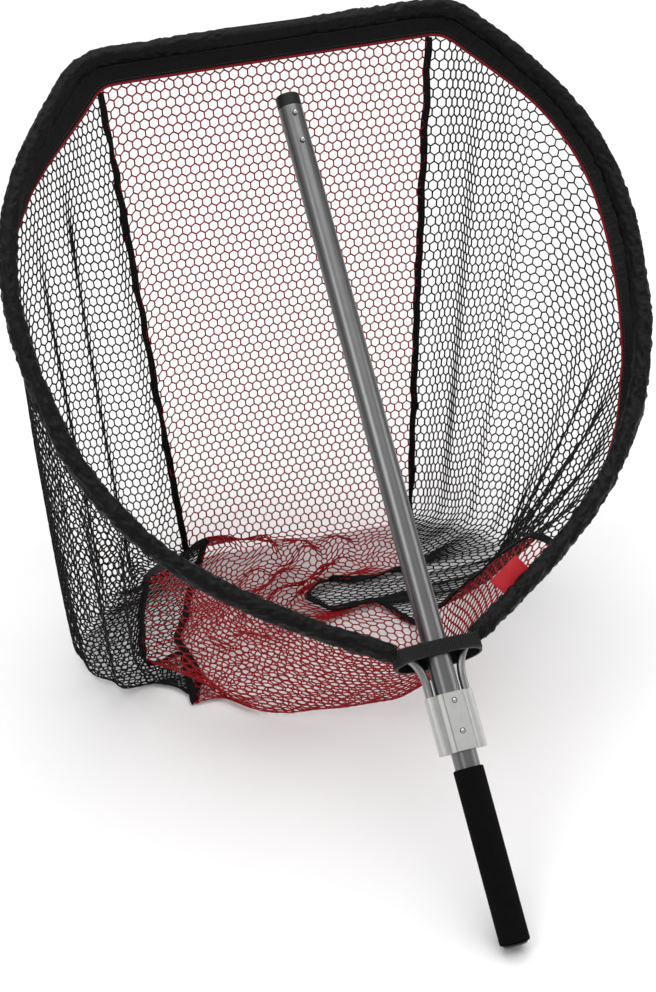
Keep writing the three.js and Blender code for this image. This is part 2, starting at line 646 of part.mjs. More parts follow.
function thickSheet(grid, thickness) {
  const rows = grid.length - 1;
  const columns = grid[0].length - 1;
  const normalAt = (r, c) => {
    const across = grid[r][Math.min(c + 1, columns)].clone().sub(grid[r][Math.max(c - 1, 0)]);
    const down = grid[Math.min(r + 1, rows)][c].clone().sub(grid[Math.max(r - 1, 0)][c]);
    return across.cross(down).normalize();
  };
  const points = [];
  for (const side of [0.5, -0.5]) {
    for (let r = 0; r <= rows; r += 1) {
      for (let c = 0; c <= columns; c += 1) {
        points.push(grid[r][c].clone().addScaledVector(normalAt(r, c), side * thickness).toArray());
      }
    }
  }
  const index = (side, r, c) => side * (rows + 1) * (columns + 1) + r * (columns + 1) + c;
  const triangles = [];
  const quad = (a, b, c, d) => triangles.push([a, b, c], [a, c, d]);
  for (let r = 0; r < rows; r += 1) {
    for (let c = 0; c < columns; c += 1) {
      quad(index(0, r, c), index(0, r + 1, c), index(0, r + 1, c + 1), index(0, r, c + 1));
      quad(index(1, r, c), index(1, r, c + 1), index(1, r + 1, c + 1), index(1, r + 1, c));
    }
  }
  for (let r = 0; r < rows; r += 1) {
    quad(index(0, r, 0), index(1, r, 0), index(1, r + 1, 0), index(0, r + 1, 0));
    quad(index(0, r, columns), index(0, r + 1, columns), index(1, r + 1, columns), index(1, r, columns));
  }
  for (let c = 0; c < columns; c += 1) {
    quad(index(0, 0, c), index(0, 0, c + 1), index(1, 0, c + 1), index(1, 0, c));
    quad(index(0, rows, c), index(1, rows, c), index(1, rows, c + 1), index(0, rows, c + 1));
  }
  return closedMesh(points, triangles);
}

const lift = (points, z) => points.map((point) => point.clone().setZ(z));
const PANEL_FOOT = TAPE_OD + GAP + MESH_THICKNESS / 2;

function sidePanel(side) {
  const left = side === "left";
  const [from, to] = left ? ["frontLeft", "backLeft"] : ["backRight", "frontRight"];
  const ends = { frontLeft, backLeft, backRight, frontRight };
  const upperRun = rimBetween(seamIndex[from], seamIndex[to], ends[from].point, ends[to].point);
  const lowerRun = lift((left ? leftSide : rightSide).getSpacedPoints(16), PANEL_FOOT);
  return hangingPanel(upperRun, lowerRun, 16, 4);
}

function backPanel() {
  const upperRun = rimBetween(seamIndex.backLeft, seamIndex.backRight, backLeft.point, backRight.point);
  return hangingPanel(upperRun, lift([corners.backLeft, corners.backRight], PANEL_FOOT), 6, 2);
}

// Runs from seam to seam round the arms' side; between the sleeve's two ends it crosses below them.
function frontPanel() {
  const before = rim.filter((_, i) => i < seamIndex.frontLeft - 0.02).map(({ point }) => point);
  const after = rim.filter((_, i) => i > seamIndex.frontRight + 0.02).map(({ point }) => point);
  const upperRun = [frontLeft.point, ...before.reverse(), ...after.reverse(), frontRight.point];
  return hangingPanel(upperRun, lift([corners.frontLeft, corners.frontRight], PANEL_FOOT), 14, 2);
}

function basePanel() {
  const inset = TAPE_OD + GAP;
  const centre = corners.backLeft.clone().add(corners.frontRight).multiplyScalar(0.5);
  const outline = [...leftSide.getSpacedPoints(12), ...rightSide.getSpacedPoints(12)].map((point) => {
    const inward = centre.clone().sub(point).setZ(0).normalize();
    return point.clone().addScaledVector(inward, inset);
  });
  const shape = new THREE.Shape(outline.map(({ x, y }) => new THREE.Vector2(x, y)));
  return new THREE.ExtrudeGeometry(shape, { depth: MESH_THICKNESS, bevelEnabled: false });
}

// A bound seam: down from the bar, along one side of the bag's floor, and up to the arms' side.
function seamTape(side) {
  const left = side === "left";
  const radius = TAPE_OD / 2;
  const floorRun = lift((left ? leftSide : rightSide).getSpacedPoints(14), radius);
  const [first, last] = left ? [frontLeft.point, backLeft.point] : [backRight.point, frontRight.point];
  const line = [first, ...floorRun, last];
  let across = new THREE.Vector3(1, 0, 0);
  const rings = line.map((point, i) => {
    const from = line[Math.max(i - 1, 0)];
    const to = line[Math.min(i + 1, line.length - 1)];
    const run = to.clone().sub(from).normalize();
    across = across.clone().addScaledVector(run, -across.dot(run)).normalize();
    const other = run.clone().cross(across);
    return circle(radius, 6).map(([a, b]) => {
      const corner = point.clone().addScaledVector(across, a).addScaledVector(other, b);
      corner.z = Math.max(corner.z, 0);
      return corner.toArray();
    });
  });
  return skin(rings);
}

// ---------------------------------------------------------------- assembly

function finish(color, roughness, metalness) {
  return new THREE.MeshStandardMaterial({ color, roughness, metalness });
}

const anodised = finish(0x63676b, 0.35, 0.9);
const bareAluminium = finish(0xb9bcbe, 0.4, 0.95);
const springSteel = finish(0x9aa0a6, 0.35, 1);
const blackPlastic = finish(0x141414, 0.45, 0);
const foam = finish(0x151515, 0.9, 0);
const blackFabric = finish(0x17181a, 0.85, 0);
const redPipe = finish(0x8a1520, 0.7, 0);
const redNet = finish(0xb3202c, 0.7, 0);
const blackNet = finish(0x1c1c1e, 0.7, 0);
const redTag = finish(0xb01c28, 0.5, 0);

function piece(name, geometry, material) {
  const mesh = new THREE.Mesh(geometry, material);
  mesh.name = name;
  return mesh;
}

const rigid = new THREE.Group();
rigid.add(
  piece("handle_tube", handleTube(), anodised),
  piece("grip_foam", gripFoam(), foam),
  piece("butt_plug", buttPlug(), blackPlastic),
  piece("handle_end_cap", handleEndCap(), blackPlastic),
  piece("yoke_block", yokeBlock(), bareAluminium),
  piece("hoop_tube", hoopTube(), bareAluminium),
  piece("collar", collar(), blackPlastic),
  piece("hoop_sleeve", sleeve(), blackFabric),
  piece("sleeve_skirt", sleeveSkirt(), blackFabric),
  piece("skirt_piping", skirtPiping(), redPipe),
  piece("label_tag", labelTag(), redTag),
);
BUTTONS.forEach((along, i) => {
  rigid.add(piece(`lock_button_${i + 1}`, lockButton(along), springSteel));
  rigid.add(piece(`lock_spring_${i + 1}`, lockSpring(along), springSteel));
});
rivetPlaces().forEach((place, i) => {
  rigid.add(piece(`arm_rivet_${i + 1}`, armRivet(place), bareAluminium));
});
rigid.applyMatrix4(tilt);

const bag = new THREE.Group();
bag.add(
  piece("net_back_panel", backPanel(), redNet),
  piece("net_base_panel", basePanel(), redNet),
  piece("net_front_panel", frontPanel(), redNet),
  piece("net_left_panel", sidePanel("left"), blackNet),
  piece("net_right_panel", sidePanel("right"), blackNet),
  piece("seam_tape_left", seamTape("left"), blackFabric),
  piece("seam_tape_right", seamTape("right"), blackFabric),
);

const group = new THREE.Group();
group.add(rigid, bag);
group.updateMatrixWorld(true);
const extent = new THREE.Box3().setFromObject(group, true);
group.position.y = -(extent.min.y + extent.max.y) / 2;
group.updateMatrixWorld(true);

export default group;
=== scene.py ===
import json
import math

import bmesh
import bpy
import numpy as np
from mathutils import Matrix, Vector, noise

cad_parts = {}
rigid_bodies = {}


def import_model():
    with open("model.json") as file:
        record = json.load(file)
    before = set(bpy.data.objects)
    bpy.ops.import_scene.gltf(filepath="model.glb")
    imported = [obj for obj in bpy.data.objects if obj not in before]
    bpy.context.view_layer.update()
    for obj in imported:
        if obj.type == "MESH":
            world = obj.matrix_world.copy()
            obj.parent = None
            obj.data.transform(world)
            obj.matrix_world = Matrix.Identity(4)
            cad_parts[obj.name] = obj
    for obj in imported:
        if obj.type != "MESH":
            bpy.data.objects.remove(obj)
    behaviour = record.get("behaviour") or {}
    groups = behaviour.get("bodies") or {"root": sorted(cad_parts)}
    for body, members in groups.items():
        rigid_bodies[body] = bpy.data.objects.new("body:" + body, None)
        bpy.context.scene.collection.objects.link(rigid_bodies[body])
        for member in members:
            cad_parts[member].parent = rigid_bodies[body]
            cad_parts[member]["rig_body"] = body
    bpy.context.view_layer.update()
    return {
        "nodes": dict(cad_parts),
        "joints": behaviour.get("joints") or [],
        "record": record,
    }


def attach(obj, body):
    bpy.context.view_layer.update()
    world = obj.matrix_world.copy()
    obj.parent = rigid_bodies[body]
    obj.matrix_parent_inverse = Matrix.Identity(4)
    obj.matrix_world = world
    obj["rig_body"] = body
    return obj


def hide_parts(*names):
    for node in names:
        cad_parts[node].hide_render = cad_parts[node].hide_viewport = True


bl_info = {
    "name": "Landing net",
    "version": (1, 0, 0),
    "blender": (4, 5, 0),
    "location": "3D View > Sidebar > Landing net",
    "description": "Sleeve, netting and finishes of a landing net, built round its packed parts",
    "category": "Object",
}

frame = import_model()


# ---------------------------------------------------------------- the handle's own directions

def joint(name):
    return next(j for j in frame["joints"] if j["name"] == name)


ACROSS = np.array((1.0, 0.0, 0.0))
ALONG = np.array(joint("head_slide")["axis"], float)
OUT = -np.array(joint("button_press_1")["axis"], float)
HANDLE_RISE = math.atan2(ALONG[2], ALONG[1])
BUTT_PLUG_PROUD = 0.003
butt_mount = next(m for m in frame["record"]["mounts"] if m["name"] == "butt_end")
GRIP_END = np.array(butt_mount["pos_m"], float) + BUTT_PLUG_PROUD * ALONG

# Sizes of the hoop, as the frame has them, in metres.
HOOP_HALF_WIDTH = 0.386
HOOP_TOP = 1.130
HOOP_WIDEST = 0.833
BAR_HALF = 0.205
CORNER_RADIUS = 0.070
CORNER_HEADING = math.radians(132)
ARM_START = (0.0222, 0.225)
ARM_BEND = (0.0222, 0.303)
ARM_EXIT = (0.052, 0.351)
ARM_HEADING = math.radians(30)
BEND_PULL = (0.035, 0.012)
SIDE_PULL = (0.183, 0.300)
SHOULDER_PULL = (0.120, 0.097)
ARM_RADIUS = 0.005
SLEEVE_RADIUS = 0.0100
SKIRT_START_X = 0.072
SKIRT_DROP = 0.027
SKIRT_LEAN = math.radians(65)
PIPING_RADIUS = 0.0018

# Where the bag's four seams meet the hoop.
BACK_SEAM_LEFT, BACK_SEAM_RIGHT = -0.236, 0.205
FRONT_SEAM_LEFT = -0.280
FRONT_SEAM_RIGHT = 0.190
# How the two seams lie on the ground, from the front to the back: the left one nearly straight with a
# small hairpin at its corner, the right one pulled in to the left in a loop.
LEFT_SEAM_LIES = ((-0.231, 0.068, 0.003), (-0.208, 0.130, 0.004), (-0.222, 0.185, 0.014), (-0.190, 0.250, 0.006),
                  (-0.165, 0.305, 0.010), (-0.130, 0.338, 0.052), (-0.158, 0.362, 0.012))
RIGHT_SEAM_LIES = ((0.092, 0.125, 0.004), (0.060, 0.185, 0.008), (-0.010, 0.180, 0.012), (-0.036, 0.212, 0.020),
                   (0.000, 0.240, 0.014), (0.070, 0.228, 0.008), (0.135, 0.238, 0.008), (0.170, 0.345, 0.012))
# How the same seams hang at the front, below the hoop and above those ends.
LEFT_SEAM_HANGS = ((-0.285, 0.060, 0.240), (-0.290, 0.085, 0.150), (-0.282, 0.120, 0.050), (-0.250, 0.150, 0.014),
                   (-0.218, 0.168, 0.012), (-0.226, 0.115, 0.008))
RIGHT_SEAM_HANGS = ((0.186, -0.022, 0.246), (0.166, 0.000, 0.214), (0.140, 0.035, 0.150), (0.115, 0.067, 0.090),
                    (0.096, 0.100, 0.030))
# The front edge of what lies on the ground, and how far out the sides lie.
FRONT_LIES = ((-0.231, 0.068), (-0.170, 0.018), (-0.080, -0.002), (0.020, -0.012), (0.090, 0.020), (0.092, 0.125))
LEFT_LIES_OUT, RIGHT_LIES_OUT = -0.350, 0.268
# Heights of the cloth where it turns on to the ground, and the least it has as laid and as settled.
TURN_HEIGHT, LOWEST_LAID, LOWEST_SETTLED = 0.006, 0.004, 0.0016
MAP_MARGIN = 0.014      # how far the lattice runs past a panel's flat cut before it is trimmed

TAG_X = 0.125
TAG_WIDE, TAG_LONG = 0.022, 0.046

COLLAR_TOP = 0.353
COLLAR_HALF_WIDTH, COLLAR_HALF_DEPTH = 0.054, 0.023
COLLAR_FRONT_HEIGHT = 0.016

draped = {}   # what the Drape operator leaves for the netting and the seams


def placed(points):
    """Points given as (across, along, out) from the grip's end, in the row frame."""
    points = np.asarray(points, float)
    return (GRIP_END + points[..., 0:1] * ACROSS + points[..., 1:2] * ALONG + points[..., 2:3] * OUT)


def gone_along(points):
    """How far along a run of points each one lies, from 0."""
    return np.concatenate([[0], np.cumsum(np.linalg.norm(np.diff(points, axis=0), axis=1))])


def units(vectors):
    """Each row of vectors, at length 1."""
    return vectors / np.linalg.norm(vectors, axis=1)[:, None]


def wander(places, *seed):
    """Smooth noise, about -1 to 1, at each place along a run."""
    return np.array([noise.noise(Vector((u, *seed))) for u in places])


# ---------------------------------------------------------------- sizes and colours

def linear(code):
    """An sRGB hex colour as linear red, green, blue and alpha."""
    values = [int(code[i:i + 2], 16) / 255 for i in (1, 3, 5)]
    return tuple(v / 12.92 if v <= 0.04045 else ((v + 0.055) / 1.055) ** 2.4 for v in values) + (1.0,)


def size_prop(name, description, default):
    return bpy.props.FloatProperty(
        name=name, description=description, default=default, unit="LENGTH", subtype="DISTANCE")


def colour_prop(name, description, code):
    return bpy.props.FloatVectorProperty(
        name=name, description=description, default=linear(code), size=4, subtype="COLOR", min=0, max=1)


class NetSizes(bpy.types.PropertyGroup):
    """Sizes of the soft goods."""
    cell: size_prop("Mesh cell", "Width of one six-sided cell of the netting", 0.0114)
    row: size_prop("Mesh row", "Depth of one row of cells, which hang a little longer than they are wide", 0.0114)
    yarn: size_prop("Yarn", "Thickness of the netting's yarn", 0.0020)
    fullness: size_prop("Fullness", "How far the side and front panels are cut to belly out", 0.035)
    binding: size_prop("Seam binding", "Width of the folded tape on the bag's seams", 0.0098)
    wrinkle: size_prop("Sleeve wrinkle", "Height of the creases in the sleeve", 0.0021)
    stitch: size_prop("Stitch", "Length of one stitch", 0.0032)


class NetColours(bpy.types.PropertyGroup):
    """Colours of the net."""
    red_net: colour_prop("Red netting", "Yarn of the middle band", "#900A16")
    black_net: colour_prop("Black netting", "Yarn of the sides", "#0C0C0D")
    fabric: colour_prop("Sleeve", "Woven polyester of the sleeve", "#050506")
    piping: colour_prop("Piping", "Cord along the skirt's edge", "#7A0E18")
    tube: colour_prop("Handle tube", "Anodised aluminium of the handle", "#767677")
    bare: colour_prop("Bare aluminium", "Yoke", "#C6C6C4")
    plastic: colour_prop("Plastic", "Collar, end cap and butt plug", "#0C0C0D")
    foam: colour_prop("Foam", "Grip", "#0B0B0B")
    tag: colour_prop("Tag", "Woven label", "#A8141F")


# ---------------------------------------------------------------- nodes and materials

def add_node(tree, kind, inputs=None, **settings):
    """Adds a node. inputs maps a socket's name or index to a value or to an output to link."""
    made = tree.nodes.new(kind)
    for name, value in settings.items():
        setattr(made, name, value)
    for key, value in (inputs or {}).items():
        if isinstance(value, bpy.types.NodeSocket):
            tree.links.new(value, made.inputs[key])
        else:
            made.inputs[key].default_value = value
    return made


def new_material(name, **shader):
    """A material with one Principled shader, its constant values set on the shader's own sockets."""
    made = bpy.data.materials.new(name)
    made.use_nodes = True
    bsdf = made.node_tree.nodes["Principled BSDF"]
    for key, value in shader.items():
        bsdf.inputs[key.replace("_", " ")].default_value = value
    return made, made.node_tree, bsdf


def ramp(tree, factor, low, high):
    """Turns a 0 to 1 pattern into a value between low and high."""
    return add_node(tree, "ShaderNodeMapRange", {"Value": factor, "To Min": low, "To Max": high}).outputs["Result"]


def shade_of(colour, factor):
    return tuple(min(1.0, c * factor) for c in colour[:3]) + (1.0,)


def two_tone(tree, factor, dark, light):
    """A colour between two, by a 0 to 1 pattern."""
    made = add_node(tree, "ShaderNodeMix", {"Factor": factor}, data_type="RGBA")
    made.inputs[6].default_value = dark
    made.inputs[7].default_value = light
    return made.outputs[2]


def painted(tree, bsdf, factor, dark, light):
    """Colours a shader between two colours, by a 0 to 1 pattern."""
    tree.links.new(two_tone(tree, factor, dark, light), bsdf.inputs["Base Color"])


def tinted(tree, bsdf, factor, colour, dark, light):
    """The same, between two shades of one colour."""
    painted(tree, bsdf, factor, shade_of(colour, dark), shade_of(colour, light))


def roughened(tree, bsdf, factor, low, high):
    """Varies a shader's roughness between two values, by a 0 to 1 pattern."""
    tree.links.new(ramp(tree, factor, low, high), bsdf.inputs["Roughness"])


def along_handle(tree, across_mm, along_mm):
    """Object coordinates turned in line with the handle, one unit for each of these lengths."""
    place = add_node(tree, "ShaderNodeTexCoord").outputs["Object"]
    turned = add_node(tree, "ShaderNodeMapping", {"Vector": place, "Rotation": (-HANDLE_RISE, 0, 0)})
    return add_node(tree, "ShaderNodeMapping", {
        "Vector": turned.outputs[0],
        "Scale": (1000 / across_mm, 1000 / along_mm, 1000 / across_mm)}).outputs[0]


def object_noise(tree, size_mm, detail=3.0):
    """A noise on Object coordinates whose grains are about this wide."""
    place = add_node(tree, "ShaderNodeTexCoord").outputs["Object"]
    return add_node(tree, "ShaderNodeTexNoise", {
        "Vector": place, "Scale": 1000 / size_mm, "Detail": detail}).outputs["Fac"]


def raise_surface(tree, bsdf, height, depth_mm, strength=1.0, under=None):
    """Bumps the surface by a 0 to 1 pattern of that depth."""
    bump = add_node(tree, "ShaderNodeBump", {"Height": height, "Strength": strength, "Distance": depth_mm / 1000})
    if under is not None:
        tree.links.new(under, bump.inputs["Normal"])
    tree.links.new(bump.outputs["Normal"], bsdf.inputs["Normal"])
    return bump.outputs["Normal"]


def anodised_tube(colours):
    # Drawn aluminium tube, grey anodised: fine lines along it from the die, and a satin sheen that the
    # oxide layer breaks up a little.
    made, tree, bsdf = new_material("anodised_aluminium_drawn", Metallic=1.0)
    lines = add_node(tree, "ShaderNodeTexNoise", {"Vector": along_handle(tree, 0.45, 60), "Scale": 1, "Detail": 2})
    cloud = object_noise(tree, 24, 4)
    tinted(tree, bsdf, cloud, colours.tube, 0.88, 1.08)
    roughened(tree, bsdf, lines.outputs["Fac"], 0.26, 0.36)
    raise_surface(tree, bsdf, lines.outputs["Fac"], 0.012, 0.35)
    return made


def bare_aluminium(colours):
    # Extruded aluminium, deburred and left bare: brushed along the extrusion, brighter than the tube.
    made, tree, bsdf = new_material("aluminium_extruded_bare", Metallic=1.0)
    lines = add_node(tree, "ShaderNodeTexNoise", {"Vector": along_handle(tree, 0.5, 25), "Scale": 1, "Detail": 3})
    scuffs = object_noise(tree, 7, 6)
    tinted(tree, bsdf, scuffs, colours.bare, 0.86, 1.04)
    roughened(tree, bsdf, lines.outputs["Fac"], 0.36, 0.54)
    raise_surface(tree, bsdf, lines.outputs["Fac"], 0.02, 0.4)
    return made


def dull_aluminium(colours):
    # Drawn aluminium tube, left as it was bent: duller and darker than the yoke's extrusion, a little scuffed.
    made, tree, bsdf = new_material("aluminium_drawn_bent", Metallic=1.0)
    scuffs = object_noise(tree, 9, 6)
    painted(tree, bsdf, scuffs, linear("#7E7E7E"), linear("#9A9A99"))
    roughened(tree, bsdf, scuffs, 0.24, 0.40)
    return made


def spring_steel(colours):
    # Stainless spring steel, rolled and tumbled: bright, with faint cloudy marks.
    made, tree, bsdf = new_material("stainless_steel_tumbled", Metallic=1.0, Base_Color=linear("#B9BABB"))
    roughened(tree, bsdf, object_noise(tree, 1.5), 0.16, 0.30)
    return made


def moulded_plastic(colours):
    # Glass-filled nylon, moulded black: a fine spark-eroded grain, about 0.3 mm, that dulls the shine.
    made, tree, bsdf = new_material("nylon_moulded_black", IOR=1.53, Specular_IOR_Level=0.28)
    grain = object_noise(tree, 0.6, 2)
    tinted(tree, bsdf, grain, colours.plastic, 0.8, 1.5)
    roughened(tree, bsdf, grain, 0.34, 0.52)
    raise_surface(tree, bsdf, grain, 0.05, 0.5)
    return made


def grip_foam(colours):
    # EVA foam, ground to size: matt, with open cells of about 0.5 mm drawn at 0.9 mm so that they show.
    made, tree, bsdf = new_material("eva_foam_ground", Roughness=0.9, IOR=1.45, Specular_IOR_Level=0.06)
    place = add_node(tree, "ShaderNodeTexCoord").outputs["Object"]
    cells = add_node(tree, "ShaderNodeTexVoronoi", {"Vector": place, "Scale": 1000 / 0.9})
    cloud = object_noise(tree, 9, 4)
    tinted(tree, bsdf, cloud, colours.foam, 0.8, 1.45)
    under = raise_surface(tree, bsdf, cloud, 0.25, 0.3)
    raise_surface(tree, bsdf, cells.outputs["Distance"], 0.12, 0.5, under)
    return made


def weave_height(tree, spacing_mm, uv_name="Cloth"):
    """A plain weave on the cloth's own map, in metres: over and under threads at this spacing."""
    cloth = add_node(tree, "ShaderNodeUVMap", uv_map=uv_name).outputs["UV"]
    scaled = add_node(tree, "ShaderNodeVectorMath", {0: cloth, 1: (math.pi * 1000 / spacing_mm,) * 3},
                      operation="MULTIPLY").outputs[0]
    parts = add_node(tree, "ShaderNodeSeparateXYZ", {0: scaled})
    waves = [add_node(tree, "ShaderNodeMath", {0: parts.outputs[i]}, operation="SINE").outputs[0] for i in (0, 1)]
    humps = [add_node(tree, "ShaderNodeMath", {0: w}, operation="ABSOLUTE").outputs[0] for w in waves]
    crossing = add_node(tree, "ShaderNodeMath", {0: waves[0], 1: waves[1]}, operation="MULTIPLY").outputs[0]
    over = add_node(tree, "ShaderNodeMath", {0: crossing, 1: 0.0}, operation="GREATER_THAN").outputs[0]
    return add_node(tree, "ShaderNodeMix", {"Factor": over, 2: humps[0], 3: humps[1]}, data_type="FLOAT").outputs[0]


def sleeve_fabric(colours):
    # Coated polyester, plain woven: threads about 0.45 mm apart, drawn at 1.1 mm so that they show. The
    # coating leaves a faint sheen on the creases.
    made, tree, bsdf = new_material(
        "polyester_woven_black", Roughness=0.44, Specular_IOR_Level=0.15)
    weave = weave_height(tree, 1.1)
    cloud = object_noise(tree, 30, 4)
    # Painted highlight and shade: the cloth is painted lighter and darker in 30 mm patches, standing in for the light
    # caught by its crinkles.
    painted_crinkle_light = two_tone(tree, cloud, shade_of(colours.fabric, 0.75), shade_of(colours.fabric, 1.7))
    # Painted shade: the weave's hollows between the threads are painted darker, towards a quarter of the cloth's
    # colour.
    threads = add_node(tree, "ShaderNodeMix", {"Factor": ramp(tree, weave, 0.55, 0.0), 6: painted_crinkle_light}, data_type="RGBA")
    threads.inputs[7].default_value = shade_of(colours.fabric, 0.25)
    tree.links.new(threads.outputs[2], bsdf.inputs["Base Color"])
    under = raise_surface(tree, bsdf, object_noise(tree, 6, 6), 1.6, 0.9)
    raise_surface(tree, bsdf, weave, 0.12, 0.6, under)
    return made


def piping_cord(colours):
    # Bias tape sewn round a cord: a close weave on the slant.
    made, tree, bsdf = new_material("polyester_piping_red", Roughness=0.6, Specular_IOR_Level=0.2)
    weave = weave_height(tree, 0.9)
    # Painted shade and highlight: the weave is painted darker in its hollows and lighter on its threads.
    tinted(tree, bsdf, weave, colours.piping, 0.4, 1.15)
    raise_surface(tree, bsdf, weave, 0.12, 0.6)
    return made


def netting_yarn(name, colour, gloss):
    # Knotless polyester netting with a thin rubbery dip: the yarn's twist shows as small light and dark turns.
    made, tree, bsdf = new_material(name, Roughness=gloss, IOR=1.5, Specular_IOR_Level=0.15)
    twist = object_noise(tree, 1.6, 3)
    cloud = object_noise(tree, 60, 3)
    near = two_tone(tree, twist, shade_of(colour, 0.6), shade_of(colour, 1.35))
    shade = add_node(tree, "ShaderNodeMix", {"Factor": cloud, 6: near}, data_type="RGBA")
    shade.inputs[7].default_value = shade_of(colour, 0.85)
    tree.links.new(shade.outputs[2], bsdf.inputs["Base Color"])
    raise_surface(tree, bsdf, twist, 0.12, 0.5)
    return made


def red_netting(colours):
    return netting_yarn("polyester_netting_red", colours.red_net, 0.5)


def black_netting(colours):
    return netting_yarn("polyester_netting_black", colours.black_net, 0.55)


def seam_binding(colours):
    # Grosgrain tape folded over the seams: cross ribs about 0.6 mm apart, drawn at 1.3 mm so that they show.
    made, tree, bsdf = new_material("grosgrain_tape_black", Roughness=0.7, Specular_IOR_Level=0.12)
    cloth = add_node(tree, "ShaderNodeUVMap", uv_map="Cloth").outputs["UV"]
    ribs = add_node(tree, "ShaderNodeTexWave", {"Vector": cloth, "Scale": 1000 / 1.3 / 20 * math.pi, "Distortion": 0.4},
                    wave_type="BANDS", bands_direction="X").outputs["Fac"]
    # Painted shade: the grooves between the ribs are painted darker than their crests.
    painted(tree, bsdf, ribs, linear("#040404"), linear("#0F0F10"))
    raise_surface(tree, bsdf, ribs, 0.2, 0.6)
    return made


def tag_cloth(colours):
    # Damask label tape, woven plain and heat cut: satin, with fine cross threads.
    made, tree, bsdf = new_material("damask_label_red", Roughness=0.5, Specular_IOR_Level=0.2)
    weave = weave_height(tree, 0.8)
    # Painted shade and highlight: the weave is painted darker in its hollows and lighter on its threads.
    tinted(tree, bsdf, weave, colours.tag, 0.55, 1.2)
    raise_surface(tree, bsdf, weave, 0.08, 0.5)
    return made


def stitch_thread(colours):
    # Bonded nylon thread, a shade lighter than the fabric, so that the stitch rows read.
    made, tree, bsdf = new_material("nylon_thread_black", Roughness=0.4)
    painted(tree, bsdf, object_noise(tree, 0.8), linear("#101113"), linear("#34373B"))
    return made


MATERIALS = {
    "anodised_tube": anodised_tube, "eva_foam": grip_foam, "black_plastic": moulded_plastic,
    "spring_steel": spring_steel, "bare_aluminium": bare_aluminium, "dull_aluminium": dull_aluminium,
    "sleeve_fabric": sleeve_fabric,
    "red_piping": piping_cord, "red_netting": red_netting, "black_netting": black_netting,
    "seam_binding": seam_binding, "red_tag": tag_cloth, "thread": stitch_thread,
}
made_materials = {}


def material_for(slot):
    """The material of one of the record's slots, made once."""
    if slot not in made_materials:
        made_materials[slot] = MATERIALS[slot](bpy.context.scene.landing_net_colours)
    return made_materials[slot]


# ---------------------------------------------------------------- meshes

def link(name, mesh):
    made = bpy.data.objects.new(name, mesh)
    bpy.context.scene.collection.objects.link(made)
    return made


def remove(obj):
    data = obj.data
    bpy.data.objects.remove(obj)
    if data is not None and data.users == 0:
        bpy.data.meshes.remove(data)


def outward(mesh):
    """Turns the faces of a closed mesh outwards."""
    work = bmesh.new()
    work.from_mesh(mesh)
    bmesh.ops.recalc_face_normals(work, faces=work.faces)
    work.to_mesh(mesh)
    work.free()


def ring_mesh(name, rings, smooth_angle=60):
    """A closed tube through rings of points (n, m, 3), capped, with its own map in metres: along, and round."""
    n, m = rings.shape[:2]
    verts = rings.reshape(-1, 3)
    middle = rings.mean(axis=1)
    along = gone_along(middle)
    steps = np.linalg.norm(np.roll(rings, -1, axis=1) - rings, axis=2).mean(axis=0)
    round_it = np.concatenate([[0], np.cumsum(steps)])
    faces, uvs = [], []
    for i in range(n - 1):
        for j in range(m):
            k = (j + 1) % m
            faces.append((i * m + j, i * m + k, (i + 1) * m + k, (i + 1) * m + j))
            uvs += [(along[i], round_it[j]), (along[i], round_it[j + 1]),
                    (along[i + 1], round_it[j + 1]), (along[i + 1], round_it[j])]
    for start in (0, (n - 1) * m):
        faces.append(tuple(range(start, start + m)))
        uvs += [(0.0, 0.0)] * m
    mesh = bpy.data.meshes.new(name)
    mesh.from_pydata(verts.tolist(), [], faces)
    layer = mesh.uv_layers.new(name="Cloth")
    layer.data.foreach_set("uv", np.array(uvs, np.float32).ravel())
    outward(mesh)
    mesh.polygons.foreach_set("use_smooth", [True] * len(mesh.polygons))
    mesh.set_sharp_from_angle(angle=math.radians(smooth_angle))
    return link(name, mesh)


def finished(obj, slot, body="head", stands_for=(), finish=None):
    """Gives a piece its finish, its body and the CAD nodes that it stands for."""
    obj.data.materials.clear()
    obj.data.materials.append(material_for(finish or slot))
    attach(obj, body)
    if stands_for:
        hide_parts(*stands_for)
    return obj


def evaluated_copy(obj, name):
    """The object's mesh with its modifiers, as a plain object, and the first one removed."""
    graph = bpy.context.evaluated_depsgraph_get()
    mesh = bpy.data.meshes.new_from_object(obj.evaluated_get(graph))
    remove(obj)
    mesh.name = name
    return link(name, mesh)


# ---------------------------------------------------------------- geometry node trees

def new_tree(name, sockets):
    """A geometry tree with named inputs: {name: (socket type, default)}."""
    tree = bpy.data.node_groups.new(name, "GeometryNodeTree")
    tree.interface.new_socket("Geometry", in_out="INPUT", socket_type="NodeSocketGeometry")
    for label, (kind, default) in sockets.items():
        made = tree.interface.new_socket(label, in_out="INPUT", socket_type=kind)
        if default is not None:
            made.default_value = default
    tree.interface.new_socket("Geometry", in_out="OUTPUT", socket_type="NodeSocketGeometry")
    return tree, add_node(tree, "NodeGroupInput").outputs


def end_tree(tree, geometry, material):
    """Realize Instances, Set Material and the output."""
    real = add_node(tree, "GeometryNodeRealizeInstances", {0: geometry}).outputs[0]
    coloured = add_node(tree, "GeometryNodeSetMaterial", {"Geometry": real, "Material": material}).outputs[0]
    add_node(tree, "NodeGroupOutput", {0: coloured})
    return tree


def grown(obj, tree, name, values):
    """Runs a tree on obj and returns the result as a plain mesh object."""
    modifier = obj.modifiers.new(tree.name, "NODES")
    modifier.node_group = tree
    named = {item.name: item.identifier for item in tree.interface.items_tree if item.in_out == "INPUT"}
    for label, value in values.items():
        modifier[named[label]] = value
    return evaluated_copy(obj, name)


